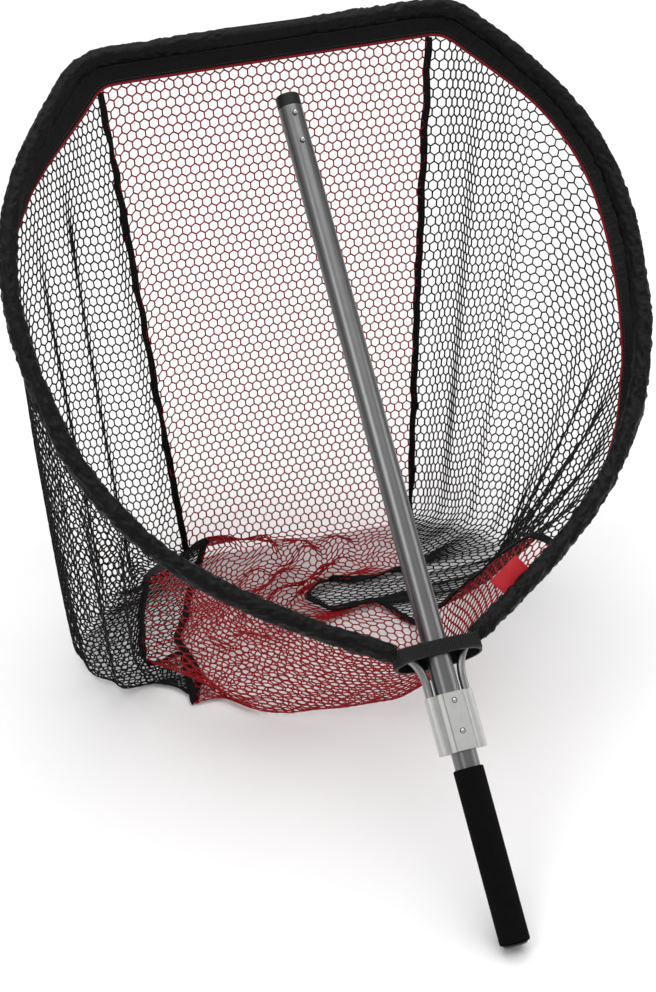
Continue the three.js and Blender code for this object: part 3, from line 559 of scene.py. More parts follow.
def netting_tree():
    """A six-sided lattice over a flat rectangle, laid on a surface by its flat map, each edge a length of yarn."""
    tree, given = new_tree("Netting", {
        "Surface": ("NodeSocketObject", None), "Cell": ("NodeSocketFloat", 0.012),
        "Row": ("NodeSocketFloat", 0.0122), "Yarn": ("NodeSocketFloat", 0.0018),
        "Columns": ("NodeSocketInt", 40), "Rows": ("NodeSocketInt", 60),
        "Start": ("NodeSocketVector", None), "Material": ("NodeSocketMaterial", None)})

    def calc(operation, a, b):
        return add_node(tree, "ShaderNodeMath", {0: a, 1: b}, operation=operation).outputs[0]

    wide = calc("MULTIPLY", calc("SUBTRACT", given["Columns"], 1), given["Cell"])
    high = calc("MULTIPLY", calc("SUBTRACT", given["Rows"], 1), given["Row"])
    grid = add_node(tree, "GeometryNodeMeshGrid", {
        "Size X": wide, "Size Y": high, "Vertices X": given["Columns"], "Vertices Y": given["Rows"]}).outputs[0]
    corner = add_node(tree, "ShaderNodeCombineXYZ", {0: calc("DIVIDE", wide, 2), 1: calc("DIVIDE", high, 2)}).outputs[0]
    grid = add_node(tree, "GeometryNodeSetPosition", {"Geometry": grid, "Offset": corner}).outputs[0]
    place = add_node(tree, "GeometryNodeInputPosition").outputs[0]
    row = calc("ROUND", calc("DIVIDE", add_node(tree, "ShaderNodeSeparateXYZ", {0: place}).outputs[1], given["Row"]), 0)
    shift = calc("MULTIPLY", calc("MODULO", row, 2), calc("DIVIDE", given["Cell"], 2))
    staggered = add_node(tree, "GeometryNodeSetPosition", {
        "Geometry": grid, "Offset": add_node(tree, "ShaderNodeCombineXYZ", {0: shift}).outputs[0]}).outputs[0]
    triangles = add_node(tree, "GeometryNodeTriangulate", {"Mesh": staggered}, quad_method="SHORTEST_DIAGONAL")
    cells = add_node(tree, "GeometryNodeDualMesh", {0: triangles.outputs[0]}).outputs[0]
    surface = add_node(tree, "GeometryNodeObjectInfo", {"Object": given["Surface"]}).outputs["Geometry"]
    flat_map = add_node(tree, "GeometryNodeInputNamedAttribute", {"Name": "Cloth"}, data_type="FLOAT_VECTOR").outputs[0]
    flat_place = add_node(tree, "ShaderNodeVectorMath", {0: place, 1: given["Start"]}, operation="ADD").outputs[0]
    sample = add_node(tree, "GeometryNodeSampleUVSurface", data_type="FLOAT_VECTOR")
    tree.links.new(surface, sample.inputs["Mesh"])
    tree.links.new(place, sample.inputs["Value"])
    tree.links.new(flat_map, sample.inputs["UV Map"])
    tree.links.new(flat_place, sample.inputs["Sample UV"])
    off_cloth = add_node(tree, "FunctionNodeBooleanMath", {0: sample.outputs["Is Valid"]}, operation="NOT").outputs[0]
    # The test for being on the cloth is kept on the points, because they move before it is used.
    kept = add_node(tree, "GeometryNodeStoreNamedAttribute", {
        "Geometry": cells, "Name": "off_cloth", "Value": off_cloth}, data_type="BOOLEAN", domain="POINT").outputs[0]
    laid = add_node(tree, "GeometryNodeSetPosition", {"Geometry": kept, "Position": sample.outputs["Value"]}).outputs[0]
    off_again = add_node(tree, "GeometryNodeInputNamedAttribute", {"Name": "off_cloth"}, data_type="BOOLEAN").outputs[0]
    trimmed = add_node(tree, "GeometryNodeDeleteGeometry", {"Geometry": laid, "Selection": off_again},
                       domain="POINT").outputs[0]
    strands = add_node(tree, "GeometryNodeMeshToCurve", {0: trimmed}).outputs[0]
    # Four sides, a little wider across the corners, are as thick on average as a round yarn.
    section = add_node(tree, "GeometryNodeCurvePrimitiveCircle", {
        "Resolution": 4, "Radius": calc("MULTIPLY", given["Yarn"], math.pi / (4 * math.sqrt(2)))}).outputs[0]
    yarn = add_node(tree, "GeometryNodeCurveToMesh", {"Curve": strands, "Profile Curve": section}).outputs[0]
    return end_tree(tree, yarn, given["Material"])


def row_tree(name):
    """A small shape repeated along a path at an even pitch, turned in line with the path: stitches, or ribs."""
    tree, given = new_tree(name, {
        "Pitch": ("NodeSocketFloat", 0.005), "Length": ("NodeSocketFloat", 0.003),
        "Thickness": ("NodeSocketFloat", 0.0007), "Material": ("NodeSocketMaterial", None)})
    path = add_node(tree, "GeometryNodeMeshToCurve", {0: given["Geometry"]}).outputs[0]
    spaced = add_node(tree, "GeometryNodeResampleCurve", mode="LENGTH")
    tree.links.new(path, spaced.inputs["Curve"])
    tree.links.new(given["Pitch"], spaced.inputs["Length"])
    ball = add_node(tree, "GeometryNodeMeshIcoSphere", {"Radius": 0.5, "Subdivisions": 2}).outputs[0]
    shape = add_node(tree, "GeometryNodeTransform", {
        0: ball, "Scale": add_node(tree, "ShaderNodeCombineXYZ", {
            0: given["Thickness"], 1: given["Thickness"], 2: given["Length"]}).outputs[0]}).outputs[0]
    turn = add_node(tree, "FunctionNodeAlignRotationToVector", {
        "Vector": add_node(tree, "GeometryNodeInputTangent").outputs[0]}, axis="Z").outputs[0]
    copies = add_node(tree, "GeometryNodeInstanceOnPoints", {
        "Points": spaced.outputs[0], "Instance": shape, "Rotation": turn}).outputs[0]
    return end_tree(tree, copies, given["Material"])


def path_object(name, runs):
    """Runs of points as an edge mesh, for a tree to follow."""
    verts, edges = [], []
    for run in runs:
        first = len(verts)
        verts += [tuple(p) for p in run]
        edges += [(first + i, first + i + 1) for i in range(len(run) - 1)]
    mesh = bpy.data.meshes.new(name)
    mesh.from_pydata(verts, edges, [])
    return link(name, mesh)


# ---------------------------------------------------------------- the hoop's path

def bezier(p0, p1, p2, p3, steps):
    t = np.linspace(0, 1, steps + 1)[:, None]
    p0, p1, p2, p3 = (np.array(p, float) for p in (p0, p1, p2, p3))
    return (1 - t) ** 3 * p0 + 3 * (1 - t) ** 2 * t * p1 + 3 * (1 - t) * t ** 2 * p2 + t ** 3 * p3


def ahead(point, heading, distance):
    return (point[0] + distance * math.cos(heading), point[1] + distance * math.sin(heading))


def joined(start, start_heading, end, end_heading, pulls, steps):
    return bezier(start, ahead(start, start_heading, pulls[0]), ahead(end, end_heading, -pulls[1]), end, steps)


def resampled(points, count):
    """The same run of points, evenly spaced."""
    points = np.asarray(points, float)
    gone = gone_along(points)
    at = np.linspace(0, gone[-1], count)
    return np.stack([np.interp(at, gone, points[:, k]) for k in range(points.shape[1])], axis=1)


def hoop_points(count=1500):
    """The hoop's centre line in its own plane, from the left arm's end round to the right arm's end."""
    up = math.pi / 2
    centre = (BAR_HALF, HOOP_TOP - CORNER_RADIUS)
    corner = ahead(centre, CORNER_HEADING - up, CORNER_RADIUS)
    widest = (HOOP_HALF_WIDTH, HOOP_WIDEST)
    arc = [ahead(centre, h - up, CORNER_RADIUS) for h in np.linspace(CORNER_HEADING, math.pi, 24)[1:]]
    right = np.concatenate([
        [ARM_START], joined(ARM_BEND, up, ARM_EXIT, ARM_HEADING, BEND_PULL, 40),
        joined(ARM_EXIT, ARM_HEADING, widest, up, SIDE_PULL, 160)[1:],
        joined(widest, up, corner, CORNER_HEADING, SHOULDER_PULL, 80)[1:], arc])
    left = right * (-1, 1)
    return resampled(np.concatenate([left, right[::-1]]), count)


HOOP = hoop_points()
run_of = np.gradient(HOOP, axis=0)
run_of = units(run_of)
HOOP_RUN = run_of
HOOP_IN = np.stack([run_of[:, 1], -run_of[:, 0]], axis=1)


def smoothstep(x, low, high):
    t = np.clip((x - low) / (high - low), 0, 1)
    return t * t * (3 - 2 * t)


def skirt_lean(points):
    """The skirt leans inwards along the bar and the right side, and hangs square to the hoop elsewhere."""
    turn = np.degrees(np.arctan2(points[:, 0], points[:, 1] - HOOP_WIDEST))
    return SKIRT_LEAN * np.minimum(smoothstep(turn, -95, -40), 1 - smoothstep(turn, 95, 150))


def skirt_depth(index):
    """The skirt's own depth: fuller along the bar and round the left corner."""
    x, y = HOOP[index, 0], HOOP[index, 1]
    return (SKIRT_DROP + 0.0055 * smoothstep(y, 0.98, 1.09)
            + 0.0045 * np.exp(-((x + 0.27) / 0.05) ** 2) * smoothstep(y, 0.9, 1.0))


def skirt_ripple(index):
    """How far the skirt's free edge wanders to one side, in metres."""
    gone = gone_along(HOOP[index])
    return 0.0022 * wander(gone * 20, 0.3, 5.0) + 0.0009 * wander(gone * 75, 2.0, 1.0)


def on_skirt(index, reach, aside=0.0):
    """Row-frame points that far from the hoop's centre line, down the line that the skirt hangs along."""
    points, inward = HOOP[index], HOOP_IN[index]
    lean = skirt_lean(points)
    along_skirt = np.stack([np.sin(lean), -np.cos(lean)], axis=1)
    square = np.stack([np.cos(lean), np.sin(lean)], axis=1)
    reach = np.broadcast_to(reach, len(points))[:, None]
    aside = np.broadcast_to(aside, len(points))[:, None]
    section = reach * along_skirt + aside * square
    flat = points + section[:, 0:1] * inward
    return placed(np.column_stack([flat, section[:, 1]]))


ABOVE_COLLAR = np.flatnonzero((HOOP[:, 1] > COLLAR_TOP - 0.006) & (np.abs(HOOP[:, 0]) > ARM_EXIT[0] - 0.004))
SKIRTED = ABOVE_COLLAR[(np.abs(HOOP[ABOVE_COLLAR, 0]) >= SKIRT_START_X) | (HOOP[ABOVE_COLLAR, 1] > HOOP_WIDEST)]


def around_hoop(index, sections):
    """Rings round the hoop's centre line. sections is (n, m, 2): inwards, and out of the hoop's plane."""
    flat = HOOP[index][:, None] + sections[..., 0:1] * HOOP_IN[index][:, None]
    return placed(np.concatenate([flat, sections[..., 1:2]], axis=2))


# ---------------------------------------------------------------- operators: hard parts

HARD_PARTS = {
    # node: material slot, edge rounding in metres
    "handle_tube": ("anodised_tube", 0.0002), "grip_foam": ("eva_foam", 0.0012),
    "butt_plug": ("black_plastic", 0.0005), "handle_end_cap": ("black_plastic", 0.0006),
    "yoke_block": ("bare_aluminium", 0.0003), "collar": ("black_plastic", 0.0006),
    **{f"lock_button_{i}": ("spring_steel", 0.0001) for i in range(1, 5)},
    **{f"lock_spring_{i}": ("spring_steel", 0.0001) for i in range(1, 5)},
    **{f"arm_rivet_{i}": ("bare_aluminium", 0.0001) for i in range(1, 5)},
}


class NETKIT_OT_hard_parts(bpy.types.Operator):
    """Handle, grip, caps, yoke, collar, buttons, springs and rivets with rounded edges and real finishes"""
    bl_idname = "netkit.hard_parts"
    bl_label = "Hard parts"

    def execute(self, context):
        for node_name, (slot, rounding) in HARD_PARTS.items():
            source = frame["nodes"][node_name]
            copy = link(node_name + "_finished", source.data.copy())
            work = bmesh.new()
            work.from_mesh(copy.data)
            bmesh.ops.remove_doubles(work, verts=work.verts, dist=1e-6)
            work.to_mesh(copy.data)
            work.free()
            copy.data.polygons.foreach_set("use_smooth", [True] * len(copy.data.polygons))
            bevel = copy.modifiers.new("Rounded edges", "BEVEL")
            bevel.width, bevel.segments, bevel.limit_method = rounding, 2, "ANGLE"
            bevel.angle_limit = math.radians(40)
            # Normals follow the wide faces, so that the flats stay flat and the rounding carries the turn.
            flats = copy.modifiers.new("Flat faces", "WEIGHTED_NORMAL")
            flats.mode, flats.weight = "FACE_AREA", 50
            made = evaluated_copy(copy, node_name + "_finished")
            finished(made, slot, source["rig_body"], [node_name])
        return {"FINISHED"}


class NETKIT_OT_hoop_tube(bpy.types.Operator):
    """The bent hoop tube, whose two bare ends run down into the yoke"""
    bl_idname = "netkit.hoop_tube"
    bl_label = "Hoop tube"

    def execute(self, context):
        angles = np.linspace(0, 2 * math.pi, 24, endpoint=False)
        circle = ARM_RADIUS * np.stack([np.cos(angles), np.sin(angles)], axis=1)
        index = np.arange(0, len(HOOP), 3)
        rings = around_hoop(index, np.broadcast_to(circle, (len(index), *circle.shape)))
        finished(ring_mesh("hoop_tube_bent", rings), "bare_aluminium", "head", ["hoop_tube"], finish="dull_aluminium")
        return {"FINISHED"}


class NETKIT_OT_collar_ribs(bpy.types.Operator):
    """Fine upright ribs moulded round the collar's band"""
    bl_idname = "netkit.collar_ribs"
    bl_label = "Collar ribs"

    def execute(self, context):
        angles = np.linspace(0, 2 * math.pi, 240)
        cos, sin = np.cos(angles), np.sin(angles)
        across = COLLAR_HALF_WIDTH * np.sign(cos) * np.abs(cos) ** 0.8
        run = np.stack([across, COLLAR_HALF_DEPTH * sin], axis=1)
        oval = resampled(run, 85)[:-1]
        outward_of = np.gradient(oval, axis=0)
        outward_of = np.stack([outward_of[:, 1], -outward_of[:, 0]], axis=1)
        outward_of = units(outward_of)
        low, high = COLLAR_TOP - COLLAR_FRONT_HEIGHT + 0.0025, COLLAR_TOP - 0.0015
        runs = []
        for (x, out), (nx, nout) in zip(oval, outward_of):
            drop = 0.5 - 0.5 * out / COLLAR_HALF_DEPTH
            foot = low - 0.012 * drop
            runs.append(placed([(x + 0.0001 * nx, y, out + 0.0001 * nout) for y in (foot, high)]))
        tree, given = new_tree("Moulded ribs", {
            "Radius": ("NodeSocketFloat", 0.0009), "Material": ("NodeSocketMaterial", None)})
        lines = add_node(tree, "GeometryNodeMeshToCurve", {0: given["Geometry"]}).outputs[0]
        section = add_node(tree, "GeometryNodeCurvePrimitiveCircle", {
            "Resolution": 8, "Radius": given["Radius"]}).outputs[0]
        ribs = add_node(tree, "GeometryNodeCurveToMesh", {"Curve": lines, "Profile Curve": section, "Fill Caps": True})
        end_tree(tree, ribs.outputs[0], given["Material"])
        made = grown(path_object("rib_lines", runs), tree, "collar_ribs", {
            "Radius": 0.0009, "Material": material_for("black_plastic")})
        finished(made, "black_plastic", "head")
        return {"FINISHED"}


# ---------------------------------------------------------------- operators: sleeve, skirt, piping, tag

def crease(u, angle, seed):
    """Height of the sleeve's creases, 0 to 1: soft ridges that run round the tube on the slant."""
    cos, sin = math.cos(angle), math.sin(angle)
    slow = noise.noise(Vector((u * 16 + seed, cos * 0.7, sin * 0.7)))
    slant = noise.noise(Vector((u * 62 + 1.5 * cos + seed, cos * 1.1, sin * 1.1 + 7)))
    cross = noise.noise(Vector((u * 95 - 1.8 * cos + 1.1 * sin, cos * 1.4 + 3, sin * 1.4 + seed)))
    fine = noise.noise(Vector((u * 210 - 1.2 * sin, cos * 1.6, sin * 1.6 + seed)))
    return 0.7 * slow + 1.7 * (0.4 - abs(slant)) + 1.1 * (0.35 - abs(cross)) + 0.35 * fine


class NETKIT_OT_sleeve(bpy.types.Operator):
    """The padded sleeve round the hoop, gathered into creases"""
    bl_idname = "netkit.sleeve"
    bl_label = "Sleeve"

    def execute(self, context):
        height = context.scene.landing_net_sizes.wrinkle
        index = ABOVE_COLLAR
        gone = gone_along(HOOP[index])
        angles = np.linspace(0, 2 * math.pi, 32, endpoint=False)
        ends = np.minimum(gone, gone[-1] - gone)
        lean = skirt_lean(HOOP[index])
        tight = 1.2 - 0.35 * smoothstep(HOOP[index, 1], 0.75, 1.06)      # pulled smoother along the bar
        sections = np.zeros((len(index), len(angles), 2))
        for i, u in enumerate(gone):
            hem = 1 - 0.16 * math.exp(-(ends[i] / 0.006) ** 2)
            skirt_side = math.atan2(-math.cos(lean[i]), math.sin(lean[i]))
            for j, angle in enumerate(angles):
                away = abs((angle - skirt_side + math.pi) % (2 * math.pi) - math.pi)
                drawn = 1 + 0.16 * math.exp(-(away / 0.5) ** 2)     # pulled towards the stitched skirt
                radius = SLEEVE_RADIUS * hem * drawn + height * tight[i] * crease(u, angle, 3.0)
                sections[i, j] = radius * math.cos(angle), radius * math.sin(angle)
        made = ring_mesh("hoop_sleeve_fabric", around_hoop(index, sections), 80)
        finished(made, "sleeve_fabric", "head", ["hoop_sleeve"])
        return {"FINISHED"}


class NETKIT_OT_skirt(bpy.types.Operator):
    """The stitched skirt inside the sleeve, its stitch rows and its red piping"""
    bl_idname = "netkit.skirt"
    bl_label = "Skirt and piping"

    def execute(self, context):
        sizes = context.scene.landing_net_sizes
        index = SKIRTED
        gone = gone_along(HOOP[index])
        ripple, depth = skirt_ripple(index), skirt_depth(index)
        pucker = 0.0006 * wander(gone * 240, 6.0, 2.0)
        half = 0.0007

        def across(share, side):
            reach = SLEEVE_RADIUS + (depth - SLEEVE_RADIUS) * share
            return on_skirt(index, reach, side * half + ripple * share + pucker * math.sin(math.pi * share))

        shares = np.linspace(0, 1, 9)
        rings = np.stack([across(s, 1) for s in shares] + [across(s, -1) for s in shares[::-1]], axis=1)
        skirt = ring_mesh("sleeve_skirt_fabric", rings, 50)
        finished(skirt, "sleeve_fabric", "head", ["sleeve_skirt"])

        middle = on_skirt(index, depth + PIPING_RADIUS, ripple)
        angles = np.linspace(0, 2 * math.pi, 12, endpoint=False)
        out_of = np.broadcast_to(OUT, middle.shape)
        inward = placed(np.column_stack([HOOP_IN[index], np.zeros(len(index))])) - GRIP_END
        cord = (middle[:, None] + PIPING_RADIUS * (
            np.cos(angles)[None, :, None] * inward[:, None] + np.sin(angles)[None, :, None] * out_of[:, None]))
        piping = ring_mesh("skirt_piping_cord", cord, 80)
        finished(piping, "red_piping", "head", ["skirt_piping"])

        rows = []
        for share in (0.13, 0.88):
            for side in (1, -1):
                reach = SLEEVE_RADIUS + (depth - SLEEVE_RADIUS) * share
                rows.append(on_skirt(index, reach, side * (half + 0.0001) + ripple * share
                                     + pucker * math.sin(math.pi * share)))
        stitches = grown(path_object("stitch_lines", rows), row_tree("Stitch rows"), "skirt_stitches", {
            "Pitch": sizes.stitch * 1.35, "Length": sizes.stitch, "Thickness": 0.0006,
            "Material": material_for("thread")})
        finished(stitches, "thread", "head")
        return {"FINISHED"}


class NETKIT_OT_tag(bpy.types.Operator):
    """A plain woven tag sewn inside the right arm's side"""
    bl_idname = "netkit.tag"
    bl_label = "Tag"

    def execute(self, context):
        side = [i for i in SKIRTED if HOOP[i, 0] > 0 and HOOP[i, 1] < HOOP_WIDEST]
        at = min(side, key=lambda i: abs(HOOP[i, 0] - TAG_X))
        run, inward = HOOP_RUN[at], HOOP_IN[at]
        rings = []
        for u in np.linspace(-1, 1, 22):
            curl = 0.0022 * u * u + 0.0006 * math.sin(5 * u)
            row = []
            for v, side_of in [(v, 1) for v in np.linspace(0, 1, 8)] + [(v, -1) for v in np.linspace(1, 0, 8)]:
                flat = HOOP[at] + run * (TAG_LONG / 2) * u + inward * (SLEEVE_RADIUS + TAG_WIDE * v)
                lift = -0.004 + 0.0004 * side_of - curl - 0.004 * v * v + 0.001 * math.sin(3 * v + 2 * u)
                row.append((flat[0], flat[1], lift))
            rings.append(row)
        made = ring_mesh("label_tag_plain", placed(np.array(rings)), 40)
        finished(made, "red_tag", "head", ["label_tag"])
        return {"FINISHED"}


# ---------------------------------------------------------------- operators: the bag

ACROSS_CELLS, SIDE_CELLS, DOWN_CELLS = 40, 52, 56


def crossing(index, x):
    """Where a run of hoop points passes x, as a fraction along the run."""
    values = HOOP[index, 0] - x
    i = int(np.flatnonzero(values[:-1] * values[1:] <= 0)[0])
    return i + values[i] / (values[i] - values[i + 1])


SEAM_ALLOWANCE, HEM_ALLOWANCE, HEM_BEHIND = 0.0025, 0.008, 0.0032
BELOW_SKIRT = skirt_depth(SKIRTED) + 2 * PIPING_RADIUS + 0.0005
RIM_LINE = on_skirt(SKIRTED, BELOW_SKIRT, skirt_ripple(SKIRTED))
HEM_LINE = on_skirt(SKIRTED, BELOW_SKIRT - HEM_ALLOWANCE, skirt_ripple(SKIRTED) - HEM_BEHIND)


def bag_rim():
    """The netting's upper edge and the four places where the seams start on it."""
    rim = RIM_LINE
    heights = HOOP[SKIRTED, 1]
    below = heights < HOOP_WIDEST
    first_upper = int(np.flatnonzero(~below)[0])
    last_upper = int(np.flatnonzero(~below)[-1])
    front_left = crossing(SKIRTED[:first_upper], FRONT_SEAM_LEFT)
    back_left = first_upper + crossing(SKIRTED[first_upper:last_upper + 1], BACK_SEAM_LEFT)
    back_right = first_upper + crossing(SKIRTED[first_upper:last_upper + 1], BACK_SEAM_RIGHT)
    front_right = last_upper + 1 + crossing(SKIRTED[last_upper + 1:], FRONT_SEAM_RIGHT)

    def between(a, b):
        inside = np.arange(math.ceil(a), math.floor(b) + 1)
        ends = [np.array([np.interp(t, np.arange(len(rim)), rim[:, k]) for k in range(3)]) for t in (a, b)]
        return np.concatenate([[ends[0]], rim[inside], [ends[1]]])

    gap = np.linspace(0, 1, 12)[:, None]
    under_collar = rim[-1] * (1 - gap) + rim[0] * gap
    under_collar[:, 2] -= 0.018 * np.sin(math.pi * gap[:, 0])
    front = np.concatenate([between(front_right, len(rim) - 1), under_collar[1:-1], between(0, front_left)])
    return {
        "left": resampled(between(front_left, back_left), SIDE_CELLS + 1),
        "back": resampled(between(back_left, back_right), ACROSS_CELLS + 1),
        "right": resampled(between(back_right, front_right), SIDE_CELLS + 1),
        "front": resampled(front[::-1], ACROSS_CELLS + 1),
    }


def bowed(edge, bulge):
    """The run of points that leaves a seam's two ends and bows out to x = bulge half way."""
    start, end = edge[0], edge[-1]
    pull = np.array([2 * bulge - (start[0] + end[0]) / 2, (start[1] + end[1]) / 2])
    t = np.linspace(0, 1, len(edge))[:, None]
    return (1 - t) ** 2 * start[:2] + 2 * (1 - t) * t * pull + t ** 2 * end[:2]


def down_to(rim, outline, foot):
    """A wall whose columns go from the rim to a line on the ground, and along the ground to the seam."""
    steps = np.linspace(0, 1, 12)[:, None]
    columns = []
    for top, turn, end in zip(rim, outline, foot):
        path = np.concatenate([top + (turn - top) * steps, (turn + (end - turn) * steps)[1:]])
        columns.append(resampled(path + np.linspace(0, 1e-7, len(path))[:, None], DOWN_CELLS + 1))
    return np.stack(columns, axis=1)


def straight_down(rim, foot):
    down = np.linspace(0, 1, DOWN_CELLS + 1)[:, None, None]
    return rim[None] * (1 - down) + foot[None] * down


def sides_of(floor):
    return {"left": floor[:, 0], "back": floor[-1], "right": floor[::-1, -1], "front": floor[0]}


SIDE_FOLDS = {"left": ((0.10, 0.012), (0.87, 0.020)), "right": ((0.10, 0.022), (0.74, 0.018))}


def cut_bag(walls, floor, fullness):
    """The bag as it is cut: the laid one, its seams as long as they lie, each panel bellied out to its fullness."""
    def belly(grid, by):
        rows, columns = (np.sin(math.pi * np.linspace(0, 1, n)) for n in grid.shape[:2])
        along_rows, along_columns = np.gradient(grid, axis=1), np.gradient(grid, axis=0)
        square = np.cross(along_rows, along_columns)
        square /= np.maximum(np.linalg.norm(square, axis=2, keepdims=True), 1e-9)
        square = square.mean(axis=(0, 1))
        return grid + by * (rows[:, None] * columns[None])[..., None] * square / np.linalg.norm(square)
    share = {"left": 1.0, "right": 1.0, "back": 0.25, "front": 1.6}
    return {name: belly(wall, fullness * share[name]) for name, wall in walls.items()}, belly(floor, 2.2 * fullness)


def hang_seam(wall, seam, first):
    """Moves a wall's edge column on to its seam, and eases the columns next to it."""
    order = range(wall.shape[1]) if first else range(wall.shape[1] - 1, -1, -1)
    moved = seam - wall[:, 0 if first else -1]
    for away, column in enumerate(order):
        wall[:, column] += moved * max(0.0, 1 - away / 12) ** 2


def laid_bag(rims, left, right, hanging):
    """The bag set down, before it settles: seams as they lie, and the floor pushed into folds."""
    share = np.linspace(0, 1, ACROSS_CELLS + 1)[None, :, None]
    t = np.linspace(0, 1, SIDE_CELLS + 1)[:, None]
    floor = left[:, None] * (1 - share) + right[:, None] * share
    j = share[..., 0]
    ridges = 0.5 + 0.5 * np.sin(2 * math.pi * (5.2 * j + 1.1 * t) + 1.4 * np.sin(7 * t))
    lumps = np.array([[noise.noise(Vector((13 * a, 7 * b, 2.5))) for b in j[0]] for a in t[:, 0]])
    fade = smoothstep(t, 0, 0.12) * (1 - smoothstep(t, 0.84, 1))
    floor[..., 2] += fade * np.sin(math.pi * j) * (0.034 * (0.4 + 0.6 * t) * ridges + 0.036 * np.abs(lumps))
    feet, walls = sides_of(floor), {}
    for name, out in (("left", LEFT_LIES_OUT), ("right", RIGHT_LIES_OUT)):
        line = bowed(feet[name], out)
        walls[name] = down_to(rims[name], np.column_stack([line, np.full(len(line), TURN_HEIGHT)]), feet[name])
        pleat(walls[name], SIDE_FOLDS[name])
    front_line = resampled(np.array(FRONT_LIES), ACROSS_CELLS + 1)
    walls["back"] = straight_down(rims["back"], feet["back"])
    turn = np.column_stack([front_line, np.full(len(front_line), TURN_HEIGHT)])
    walls["front"] = down_to(rims["front"], turn, feet["front"])
    hang_seam(walls["left"], hanging[0], True)
    hang_seam(walls["front"], hanging[0], True)
    hang_seam(walls["right"], hanging[1], False)
    hang_seam(walls["front"], hanging[1], False)
    for wall in (*walls.values(), floor):
        wall[..., 2] = np.maximum(wall[..., 2], LOWEST_LAID)
    return {name: walls[name] for name in ("left", "back", "right", "front")}, floor


def pleat(wall, folds):
    """Sets the fullness of a side into upright pleats. folds is where they gather, and how deep they are."""
    rows, columns = wall.shape[:2]
    c = np.linspace(0, 1, columns)
    deep = 0.004 + sum(depth * np.exp(-((c - at) / 0.13) ** 2) for at, depth in folds)
    deep *= smoothstep(c, 0, 0.04) * (1 - smoothstep(c, 0.96, 1))
    run = np.gradient(wall[0][:, :2], axis=0)
    square = np.stack([run[:, 1], -run[:, 0]], axis=1) / np.linalg.norm(run, axis=1)[:, None]
    down = np.linspace(0, 1, rows)
    grow = smoothstep(down, 0.01, 0.24) * (1 - smoothstep(down, 0.66, 0.97))
    wave = np.sin(2 * math.pi * c * 8.5 + 1.5 * np.sin(c * 9))
    wall[..., :2] += grow[:, None, None] * (deep * wave)[None, :, None] * square[None]


def weld(walls, floor):
    """One list of vertices for the sewn bag, and each panel's grid of indices into it."""
    points, grids = [], {}
    floor_index = np.arange(floor.shape[0] * floor.shape[1]).reshape(floor.shape[:2])
    points.append(floor.reshape(-1, 3))
    count = floor_index.size
    feet = sides_of(floor_index)
    for name, wall in walls.items():
        rows, columns = wall.shape[:2]
        grid = -np.ones((rows, columns), int)
        grid[-1] = feet[name]
        if name == "back":
            grid[:, 0] = grids["left"][:, -1]
        if name == "right":
            grid[:, 0] = grids["back"][:, -1]
        if name == "front":
            grid[:, 0] = grids["left"][:, 0]
            grid[:, -1] = grids["right"][:, -1]
        new = grid < 0
        grid[new] = count + np.arange(new.sum())
        points.append(wall[new])
        count += int(new.sum())
        grids[name] = grid
    grids["floor"] = floor_index
    return np.concatenate(points), grids


def quads(grid):
    return np.stack([grid[:-1, :-1], grid[1:, :-1], grid[1:, 1:], grid[:-1, 1:]], axis=-1).reshape(-1, 4)


def run_cloth(points, cut, faces, held, frames=64):
    """Lets the laid bag settle on the ground. The cut gives its rest lengths. Returns the settled points."""
    mesh = bpy.data.meshes.new("bag_cloth")
    mesh.from_pydata(points.tolist(), [], faces.tolist())
    bag = link("bag_cloth", mesh)
    bag.shape_key_add(name="Laid")
    rest = bag.shape_key_add(name="Cut")
    rest.data.foreach_set("co", cut.astype(np.float32).ravel())
    rest.value = 0.0
    group = bag.vertex_groups.new(name="held")
    group.add([int(v) for v in held], 1.0, "REPLACE")
    cloth = bag.modifiers.new("Cloth", "CLOTH")
    feel = cloth.settings
    feel.rest_shape_key = rest
    feel.quality, feel.mass, feel.air_damping = 8, 0.02, 2.5
    feel.tension_stiffness, feel.compression_stiffness = 14, 12
    feel.shear_stiffness, feel.bending_stiffness = 7, 0.02
    feel.tension_damping, feel.compression_damping = 6, 6
    feel.shear_damping, feel.bending_damping = 3, 0.3
    feel.vertex_group_mass = "held"
    cloth.collision_settings.distance_min = 0.003
    cloth.collision_settings.collision_quality = 3
    cloth.collision_settings.use_self_collision = False
    cloth.point_cache.frame_start, cloth.point_cache.frame_end = 1, frames
    bpy.ops.mesh.primitive_cube_add(size=1, location=(0, 0, -0.2))
    ground = bpy.context.object
    ground.scale = (3, 3, 0.4)
    bpy.ops.object.modifier_add(type="COLLISION")
    ground.collision.thickness_outer, ground.collision.cloth_friction = 0.002, 40
    scene = bpy.context.scene
    for at in range(1, frames + 1):
        scene.frame_set(at)
    graph = bpy.context.evaluated_depsgraph_get()
    settled = bag.evaluated_get(graph).to_mesh()
    result = np.zeros(len(settled.vertices) * 3, np.float32)
    settled.vertices.foreach_get("co", result)
    bag.evaluated_get(graph).to_mesh_clear()
    scene.frame_set(1)
    remove(ground)
    remove(bag)
    return result.reshape(-1, 3).astype(float)


def eased(points, grids, rounds=3):
    """Smooths each panel's inside a little, to take out the zigzag that a coarse cloth is left with."""
    points = points.copy()
    for name, grid in grids.items():
        for _ in range(rounds):
            p = points[grid]
            near = (p[:-2, 1:-1] + p[2:, 1:-1] + p[1:-1, :-2] + p[1:-1, 2:]) / 4
            points[grid[1:-1, 1:-1]] = 0.5 * p[1:-1, 1:-1] + 0.5 * near
    return points


def row_lengths(grid_points):
    return np.linalg.norm(np.diff(grid_points, axis=1), axis=2).sum(axis=1)


